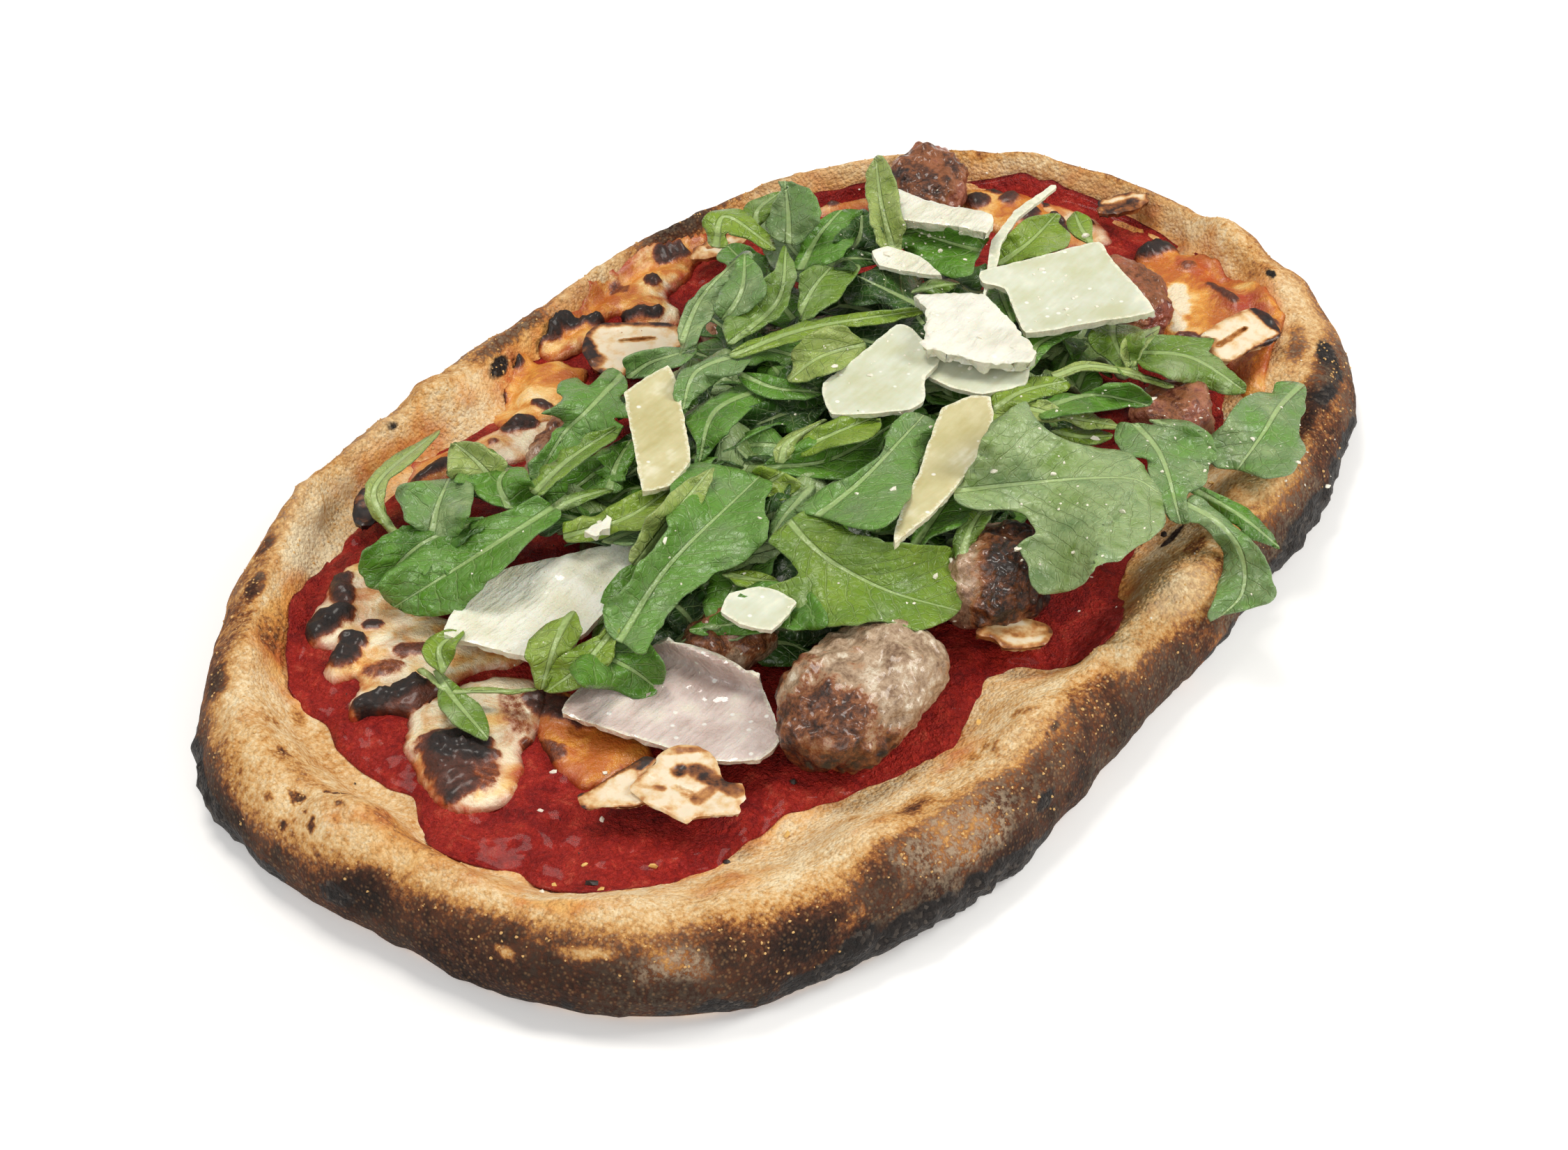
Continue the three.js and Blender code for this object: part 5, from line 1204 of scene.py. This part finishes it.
    ("f3", 0.1, 0, 8, "25,27,27 31,44,26 36,59,22", "oak 7 7"),
    ("f4", 0.3, 0, 8, "33,16,29 29,32,28 20,44,25", "oak 6 7"),
    ("f5", 0.1, 0, 8, "-47,19,25 -50,32,24 -56,44,22", "oak 8 8"),
    ("f6", 0.25, 0, 8, "-20,35,28 -37,35,27 -53,36,24", "jag 7 7"),
    ("f7", 0.1, 0, 8, "-46,44,24 -49,53,23 -53,63,21", "oval 7 7"),
    ("f9", 0.25, 0, 14, "-71,36,25 -77,48,24 -84,54,21", "oak 8 8"),
    ("f10", 0.1, 0, 8, "-1,27,28 -19,28,27 -35,28,25", "oak 8 8"),
    ("f8", 0.33, 0, 10, "3,53,29 -14,51,31 -25,50,28 -41,45,25", "-9,63 -5,61 -6,57 0,57 3,56 1,51 -2,48 -6,47 "
     "-8,42 -11,41 -13,44 -15,40 -19,40 -21,43 -26,43 -30,43 -33,44 -36,43 -41,42 -46,41 -44,44 -42,47 -38,50 "
     "-35,49 -31,50 -27,52 -24,53 -21,53 -21,56 -22,58 -18,58 -14,59 -13,61"),
    ("f11", 0.3, 10, 12, "-44,67,25 -47,55,27 -46,44,28", "-43,69 -41,67 -39,61 -41,55 -45,51 -42,48 -45,43 "
     "-49,43 -54,46 -52,54 -54,59 -49,62")]


def leaf_outline(rib, kind, left, right):
    """The outline of a leaf of a kind along its rib, its right side a little behind its left."""
    shares = np.interp(np.linspace(0, 1, len(rib)), np.linspace(0, 1, 10), LEAF_KINDS[kind])
    late = np.interp(np.linspace(0, 1, len(rib)) - 0.05, np.linspace(0, 1, 10), LEAF_KINDS[kind])
    way = np.gradient(rib[:, :2], axis=0)
    way /= np.linalg.norm(way, axis=1, keepdims=True)
    side = np.column_stack([-way[:, 1], way[:, 0]])
    return np.concatenate([rib[:, :2] + side * (left * shares)[:, None],
                           (rib[:, :2] - side * (right * late)[:, None])[::-1]])


def leaf(tone, roll, cup, rib, shape, seed, looked_at=True):
    """One leaf's points and faces, with where each point lies on the blade and how it is finished."""
    step = LEAF_STEP if looked_at else HIDDEN_STEP
    knots = numbers(rib) if isinstance(rib, str) else rib
    line = through(knots, [14] * (len(knots) - 1))
    if shape[0].isalpha():
        kind, left, right = shape.split()
        thin = line[::3] if kind in ("oak", "jag", "spoon", "oval") else line[::4]
        outline = leaf_outline(thin, kind, float(left), float(right))
    else:
        outline = numbers(shape)
    outline = closed_curve(outline, step, soft=1.0)
    wavy = raised(outline, seed * 3.0)
    outline = frayed(outline, wavy, 0.3, 3.5, 3, 2)
    broad = min(1.0, np.ptp(outline, 0).min() / 12)
    outline = frayed(outline, wavy, 0.9 * broad, 7, 5, 2)
    points, faces, gap = fill(outline, step, seed)
    reach = ((points[:, None] - line[None, :, :2]) ** 2).sum(2)
    at = reach.argmin(1)
    way = np.gradient(line[:, :2], axis=0)
    way /= np.linalg.norm(way, axis=1, keepdims=True)
    off = points - line[at, :2]
    across = way[at, 0] * off[:, 1] - way[at, 1] * off[:, 0]
    length = np.concatenate([[0], np.cumsum(np.linalg.norm(np.diff(line[:, :2], axis=0), axis=1))])
    along = length[at] + (way[at] * off).sum(1)
    half = np.ones(len(points))
    for sign in (-1, 1):
        mine = across * sign >= 0
        if mine.any():
            bins = np.clip((along[mine] / length[-1] * 12).astype(int), 0, 12)
            widest = np.ones(13)
            np.maximum.at(widest, bins, np.abs(across[mine]))
            half[mine] = widest[bins]
    out = np.clip(np.abs(across) / half, 0, 1)
    share = np.clip(along / length[-1], 0, 1)
    twist = roll + 20 * np.sin(TURN * 0.8 * share + seed * 1.7) * (1 if half.max() > 2.5 else 0)
    z = line[at, 2] - across * np.tan(np.radians(twist))
    z = z + np.minimum(np.abs(across), 6 + 0.35 * np.abs(across)) * math.tan(math.radians(1.4 * cup))
    place = raised(points, seed * 11.0)
    # The blade rises in a low quilt between its side veins
    fold = (along - VEIN_LEAN * np.abs(across) + VEIN_SHIFT * (across > 0)) / VEIN_GAP
    quilt = np.abs(np.sin(fold * math.pi / 2)) * smooth(0, 1.2, np.abs(across)) * smooth(0, 2.5, gap)
    z = z + 0.24 * (quilt - 0.5) * smooth(2, 6, half)
    ruffle = smooth(5, 0, gap) * smooth(1.5, 5, half)
    z = z + 2.1 * ruffle * swells(place, 7, 7, 2) + 1.6 * smooth(0, 1, out) * swells(place, 14, 8, 1)
    solid = sight(points, z) if looked_at else np.column_stack([points, z])
    blade = np.column_stack([along, across, half])
    return solid, faces, blade, np.column_stack([np.full(len(points), tone), np.zeros(len(points)), share])


def leaf_object(name, leaves):
    """Several leaves as one piece of even thickness."""
    points, faces, blades, finishes, start = [], [], [], [], 0
    for solid, made, blade, finish in leaves:
        points.append(solid)
        faces += [tuple(start + i for i in face) for face in made]
        blades.append(blade)
        finishes.append(finish)
        start += len(solid)
    obj = sheet_object(name, np.concatenate(points), faces, LEAF_THICKNESS,
                       {"blade": np.concatenate(blades), "finish": np.concatenate(finishes)})
    # The layer that the thickness added is the leaf's matt underside
    finish = obj.data.attributes["finish"].data
    flat = np.empty(len(finish) * 3, np.float32)
    finish.foreach_get("vector", flat)
    flat = flat.reshape(-1, 3)
    flat[start:, 1] = 1
    finish.foreach_set("vector", flat.ravel())
    return obj


def under_leaves(count, seed):
    """Leaves that fill the heap below the ones on top, in seeded places."""
    pick = np.random.default_rng(seed)
    made = []
    for k in range(count):
        turn, out = pick.uniform(0, TURN), math.sqrt(pick.uniform(0.02, 1))
        x = HEAP_X + HEAP_HALF_LENGTH * out * 0.93 * math.cos(turn)
        y = HEAP_Y + HEAP_HALF_WIDTH * out * 0.93 * math.sin(turn)
        level = 20.5 + 9.5 * math.sqrt(max(0.0, 1 - out ** 2)) - pick.uniform(0, 3)
        # They lie anyhow in the middle, and point outwards near the edge
        if out < 0.7:
            way = pick.uniform(0, TURN)
        else:
            way = math.atan2((y - HEAP_Y) * 2, x - HEAP_X) + pick.normal(0, 0.9)
        length = pick.uniform(22, 38) * (1 - 0.3 * out)
        step = np.array([math.cos(way), math.sin(way)]) * length / 2
        knots = np.array([[x - step[0], y - step[1], level - pick.uniform(0, 2)],
                          [x, y, level + pick.uniform(0, 2.5)],
                          [x + step[0], y + step[1], level - pick.uniform(0, 6) * out]])
        kind = ("oak", "oval", "spoon", "jag", "strap")[pick.integers(0, 5)]
        wide = pick.uniform(3.5, 7.5)
        # Mostly dark tones: painted shade for leaves that lie under the top ones
        tone, roll, cup = pick.choice([0.0, 0.08, 0.2, 0.3, 0.55]), pick.uniform(-12, 12), pick.uniform(-8, 16)
        shape = "%s %g %g" % (kind, wide, wide * pick.uniform(0.8, 1.2))
        made.append(leaf(tone, roll, cup, knots, shape, 200 + k, looked_at=False))
    return made


def make_heap_mass():
    """The heap's inside, which only shows between leaves, in the darkest leaf tone as painted shade."""
    t = np.arange(HEAP_ROUND) / HEAP_ROUND * TURN
    rings = []
    for share, lift in ((0.1, 1), (0.3, 1), (0.5, 0.97), (0.66, 0.9), (0.8, 0.76), (0.9, 0.58), (0.97, 0.36),
                        (1, 0.15), (0.98, 0), (0.6, 0), (0.2, 0)):
        x = HEAP_X + HEAP_HALF_LENGTH * 0.92 * share * np.cos(t)
        y = HEAP_Y + HEAP_HALF_WIDTH * 0.92 * share * np.sin(t)
        rings.append(np.stack([x, y, 15.5 + 12 * lift + 0 * t], -1))
    rings = through(np.array(rings), [4] * 10)
    rings = rings + facing(rings) * (2.6 * swells(rings, 11, 61, 3) - 1)[..., None]
    obj = wrapped("rocket_mass", rings)[0]
    count = len(points_of(obj))
    note(obj, "blade", np.tile([5.0, 6.0, 12.0], (count, 1)))
    # Tone 0, the darkest green, paints the shade inside the heap
    note(obj, "finish", np.tile([0.0, 0.0, 0.5], (count, 1)))
    return obj


# Hard cheese shavings

# How pitted each finish is, in mm, where it isn't nearly flat
PITS, NEARLY_FLAT = {"crumbly": 0.5, "softened": 0.35, "wet": 0.22}, 0.05
# From this thickness on, a shaving's edge is worn and uneven
THICK = 2.5
# The same distances as for cheese and garlic
SHAVING_STEP, SHAVING_FILL = 0.9, 1.1
# Name, height, thickness, rise at the ends, how wavy, finish, corners in the plan, an edge that is turned up
SHAVINGS = [
    ("shaving_left", 23, 1.6, 1.2, 0.8, "wet", "-98,27 -90,30.5 -78,31.5 -72,30 -62,23 -50,15 -49,8 -70,3 "
     "-85,2 -93,5"),
    ("shaving_left_melted", 19.6, 1.3, 0.6, 0.9, "softened", "-104,-10 -90,-8 -72,-14 -69,-25 -71,-38 -84,-53 "
     "-92,-53 -98,-45", "-71.5,-12 -68.5,-25 -70,-37"),
    ("shaving_left_small", 33.6, 1.2, 0, 0.3, "shaved", "-57,-18 -51,-16 -45,-20 -44,-25 -45,-30 -56,-31 "
     "-58,-24"),
    ("shaving_far_strip", 35.5, 1.5, 0.6, 0.5, "ripe", "-4,47.9 11,46 2,36 -16,20 -27,18 -32,22 -18,35"),
    ("shaving_middle", 37, 1.5, 0.4, 0.6, "shaved", "22,9 26,11.5 40,11 56,10.5 57,7 50,-6 42,-7 34,-12 "
     "28.9,-11 22,-4 17,3"),
    ("shaving_middle_thin", 35.6, 1.2, 0, 0.5, "shaved", "51,0 43,-7 42,-14 44,-22 53,-28 60,-25 57,-12"),
    ("shaving_middle_thick", 40, 3.2, 0, 1.2, "crumbly", "52,0 60,5 66,9 69,14 74,8 79,1 76,-6 71,-15 66,-23 "
     "61,-24 55,-15"),
    ("shaving_front_wedge", 39.4, 1.7, 1.8, 0.4, "ripe", "-15,-36 -8,-32 10,-26 28,-19 34,-17 42,-20 44,-24 "
     "36,-30 20,-35 0,-37"),
    ("shaving_right", 36.8, 1.8, 0.8, 0.5, "shaved", "71,-17 84,-3 83,3 87,6.1 101,-2.5 115,-11 110,-18 97,-38 "
     "84,-28"),
    ("shaving_back_thick", 39.5, 2.8, 1, 0.5, "wet", "95,34 96,41 102,45 106,43 106,34 110,17 102,14 100,23"),
    ("shaving_back_sliver", 36, 1.1, 0, 0.3, "shaved", "77,-1 90,6 100,11 115,13.5 130,12 130,10.5 113,11 "
     "101,8.5 90,3.5"),
    ("shaving_back_thin", 39, 1.2, 1, 0.5, "wet", "75,28 79,33 83,31 84,22 80,13 77,20"),
    ("shaving_left_bit", 32.5, 1.8, 0, 0.5, "crumbly", "-52,24 -44,23 -46,20 -52,21")]


def make_shaving(name, level, thick, rise, wavy, finish, corners, turned_up=None):
    """A flat piece off the blade, laid on the line of sight."""
    seed = 150 + len(corners) + int(level * 10)
    outline = closed_curve(numbers(corners), SHAVING_STEP, soft=0.35)
    outline = frayed(outline, raised(outline, seed), 0.8 if finish == "crumbly" else 0.22, 1.9, 5)
    points, faces, gap = fill(outline, SHAVING_FILL, seed)
    middle = outline.mean(0)
    span = np.linalg.norm(outline - middle, axis=1).max()
    place = raised(points, seed)
    z = level + rise * (np.linalg.norm(points - middle, axis=1) / span) ** 2 * 1.5
    z = z + wavy * swells(place, 18, 9, 2) + PITS.get(finish, NEARLY_FLAT) * swells(place, 3, 10, 2)
    if turned_up:
        z = z + 6.5 * smooth(7, 0, away(points, numbers(turned_up))) ** 1.5
    z = z - 0.12 * thick * smooth(0.7, 0, gap)
    top = sight(points, z + thick / 2)
    obj = sheet_object(name + "_sheet", top, faces, thick, {"rim": smooth(2.2, 0.2, gap)})
    if thick > THICK:
        apply(obj, "BEVEL", width=0.5 * MM, segments=2, limit_method="ANGLE", angle_limit=math.radians(50))
        at = points_of(obj) / MM
        set_points(obj, at + 0.3 * np.column_stack([swells(at, 2.2, 11 + k, 3) for k in range(3)]))
    made = dress(obj, HARD_CHEESE[finish], "hard_cheese", name)
    bpy.ops.object.shade_smooth_by_angle(angle=math.radians(40))
    return made


# Crumbs and grit

def scatter(name, places, sizes, material, slot, seed, flat=0.6):
    """Small uneven bits at the places given, each turned its own way."""
    template = add(bpy.ops.mesh.primitive_ico_sphere_add, name + "_one", subdivisions=1, radius=1)
    ball = points_of(template)
    shapes = np.array([p.vertices[:] for p in template.data.polygons])
    bpy.data.objects.remove(template)
    pick = np.random.default_rng(seed)
    points, faces = [], []
    for k, (place, size) in enumerate(zip(places, sizes)):
        bit = ball * pick.uniform(0.55, 1.25, (len(ball), 1)) * np.array([1, pick.uniform(0.5, 1), flat])
        turn = Matrix.Rotation(pick.uniform(0, TURN), 3, "Z") @ Matrix.Rotation(pick.normal(0, 0.4), 3, "X")
        points.append(bit @ np.array(turn).T * size / 2 + place)
        faces.append(shapes + k * len(ball))
    obj = mesh_object(name, np.concatenate(points), np.concatenate(faces).tolist())
    made = dress(obj, material, slot)
    bpy.ops.object.shade_flat()
    return made


def landing(trees, x, y, looked_at=True):
    """Where a bit lies: on the first thing that the line of sight through its place, or a line down, meets."""
    plan = np.array([x, y, PLAN_HEIGHT])
    start = EYE if looked_at else plan + np.array([0, 0, 60.0])
    way = Vector((plan - start) / np.linalg.norm(plan - start))
    hits = [tree.ray_cast(Vector(start * MM), way, 2) for tree in trees]
    hits = [hit for hit in hits if hit[0] is not None]
    return np.array(min(hits, key=lambda hit: hit[3])[0]) / MM if hits else None


# Everything is made from the bottom up

crust = make_crust()
sauce = make_sauce()
cheeses = [make_cheese(*row) for row in CHEESE] + [make_cheese(*row, film=True) for row in FILMS]
lumps = [make_sausage(*row) for row in SAUSAGE_LUMPS]
slices = [make_garlic(*row) for row in GARLIC_SLICES]

# Leaves that lie by themselves and stand for solids of their own
LOOSE = {"rocket_leaf_right": ("e3",), "rocket_sprig_left": ("s2", "s3", "a12")}
grown = {row[0]: leaf(*row[1:], seed=20 + k) for k, row in enumerate(LEAVES)}
greens = []
for node_name, names in LOOSE.items():
    made = leaf_object(node_name + "_fresh", [grown.pop(name) for name in names])
    greens.append(dress(made, LEAF, "rocket", node_name))
heap, half = list(grown.values()), len(grown) // 2
greens.append(dress(leaf_object("rocket_leaves_left", heap[:half]), LEAF, "rocket", "rocket_heap"))
greens.append(dress(leaf_object("rocket_leaves_right", heap[half:]), LEAF, "rocket"))
greens.append(dress(leaf_object("rocket_leaves_under", under_leaves(count=120, seed=5)), LEAF, "rocket"))
greens.append(dress(make_heap_mass(), LEAF, "rocket"))
sheets = [make_shaving(*row) for row in SHAVINGS]

# Crumbs of cheese and salt, single ones and then patches of finer ones: x, y, spread, how many
laid = [crust, sauce] + cheeses + lumps + slices + greens + sheets
now = bpy.context.evaluated_depsgraph_get()
trees = [BVHTree.FromObject(obj, now) for obj in laid]
pick = np.random.default_rng(11)
CRUMBS = [
    (94, 30), (93, 25), (89, 19), (100, 15), (89, 12), (80, 29), (78, 23), (90, -19), (115, -7), (96, -6),
    (85, -20), (35, 4), (33, 13), (-5, -19), (5, -71), (-13, -50), (-20, -50), (27, -52), (1, -25), (-1, -60),
    (44, -53), (63, -9), (-114, -29), (-126, -37), (-131, -25), (-120, -20), (-150, -40), (20, -40), (65, -56),
    (65, -69), (48, -80), (65, -83), (-47, 23), (-44, 7), (51, -14), (65, 6), (51, -8), (-25, -6), (24, -72),
    (42, -72), (55, -68), (26, -19), (63, -96), (59, -106)]
CRUMB_PATCHES = [
    (92, 24, 6, 26), (80, 24, 5, 12), (90, -15, 9, 14), (35, 8, 12, 14), (0, -62, 14, 16), (64, -68, 12, 24),
    (45, -44, 9, 16), (-30, -45, 12, 12), (63, 0, 9, 16), (-60, -10, 16, 14), (-75, 20, 14, 12),
    (20, -60, 14, 14), (96, 24, 12, 16), (66, -100, 12, 14), (30, -100, 20, 10)]
places, sizes = [], []
for x, y in CRUMBS:
    spot = landing(trees, x, y)
    if spot is not None:
        places.append(spot)
        sizes.append(pick.uniform(1.3, 2.6))
for x, y, spread, count in CRUMB_PATCHES:
    for _ in range(count):
        spot = landing(trees, x + pick.normal(0, spread), y + pick.normal(0, spread))
        if spot is not None and spot[2] > 8:
            places.append(spot)
            sizes.append(pick.uniform(0.4, 1.1))
scatter("cheese_crumbs", places, sizes, SALT, "hard_cheese", 21)

# Burnt bits that fell on the sauce, larger ones at known places and then fine ones, and tomato seeds
FINE_BITS, GRAINS = 150, 1500
bits = [(-130, -37, 3), (-107, -55, 2.6), (-80, -53, 2.2), (40, -75, 2), (-124, 38, 4), (-146, -45, 2.2)]
bits += [(pick.uniform(-135, 120), pick.uniform(-75, 80), pick.uniform(0.4, 1.1)) for _ in range(FINE_BITS)]
places, sizes = [], []
for x, y, size in bits:
    if np.hypot((x - CENTRE[0]) / 135, (y - CENTRE[1]) / 80) < 1:
        places.append(on_ground(x, y, 0.3))
        sizes.append(size)
scatter("burnt_bits", places, sizes, CINDER, "tomato_sauce", 22)
SEEDS = [(-126, -32), (-134, -30), (-131, -40), (-110, -50), (-118, -44), (-92, -60), (-40, -75), (60, -76)]
places = [on_ground(x, y, 0.5) for x, y in SEEDS]
scatter("tomato_seeds", places, [2.0] * len(places), SEED, "tomato_sauce", 23, 0.4)

# Semolina grit on the rim, coarse enough to roughen its edge
places = []
for _ in range(GRAINS):
    t = pick.uniform(0, TURN)
    r = crust_radius(t) - pick.uniform(0.5, 16)
    x, y = CENTRE + r * np.array([math.cos(t), math.sin(t)])
    spot = landing(trees[:1], x, y, False)
    if spot is not None:
        places.append(spot)
GRIT = plain("semolina_grit", ("#e3bd7c", "#b98548"), 0.7)
scatter("semolina_grit", places, pick.uniform(0.4, 0.95, len(places)), GRIT, "baked_dough", 24, 0.8)

# The studio: a plain pale floor, four soft lights and a little light from all round. The floor lies a hair
# below the base, as two faces in one plane would flicker.
floor = add(bpy.ops.mesh.primitive_plane_add, "studio_floor", size=6, location=(0, 0, -0.2 * MM))
# Matt white paper, a little brighter than the light on it makes it
floor.data.materials.append(surface(
    "matt_white_paper", Base_Color=linear("#f6f5f4"), Roughness=0.9, Emission_Color=linear("#ffffff"),
    Emission_Strength=0.2)[0])
floor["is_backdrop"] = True


# Name, place, width and height in metres, power, colour
LIGHTS = [
    ("key_light", (0.1, 0.45, 1.3), (0.5, 0.5), 9.5, "#fffaf2"),
    ("right_light", (0.55, -0.75, 0.75), (0.5, 0.5), 8, "#fffdf8"),
    ("side_light", (-0.95, 0.3, 0.8), (0.5, 0.5), 2.2, "#ffffff"),
    ("front_light", (-0.9, -0.7, 0.75), (0.8, 0.6), 4.5, "#fffdf8")]
for name, place, size, power, colour in LIGHTS:
    bpy.ops.object.select_all(action="DESELECT")
    bpy.ops.object.light_add(type="AREA", location=place)
    light = bpy.context.object
    light.name = name
    light.data.shape = "RECTANGLE"
    light.data.size, light.data.size_y = size
    light.data.energy = power
    light.data.color = linear(colour)[:3]
    # Each light looks at the middle of the pinsa
    light.rotation_euler = (-Vector(place)).to_track_quat("-Z", "Y").to_euler()
world = bpy.data.worlds.new("studio_air")
world.use_nodes = True
world.node_tree.nodes["Background"].inputs[0].default_value = linear("#ffffff")
world.node_tree.nodes["Background"].inputs[1].default_value = 0.3
bpy.context.scene.world = world
bpy.context.scene.view_settings.view_transform = "Standard"

bpy.ops.object.select_all(action="DESELECT")
bpy.ops.object.camera_add(location=EYE * MM)
camera = bpy.context.object
camera.name = "photo_camera"
camera.rotation_euler = Matrix((RIGHT, UP, BACK)).transposed().to_euler()
camera.data.lens, camera.data.sensor_width = LENS, SENSOR
camera.data.clip_start, camera.data.clip_end = 0.05, 20
bpy.context.scene.camera = camera

sizes = {"cad": [list(map(float, corner)) for corner in cad_bounds],
         "dressed": [list(map(float, corner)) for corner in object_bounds()]}
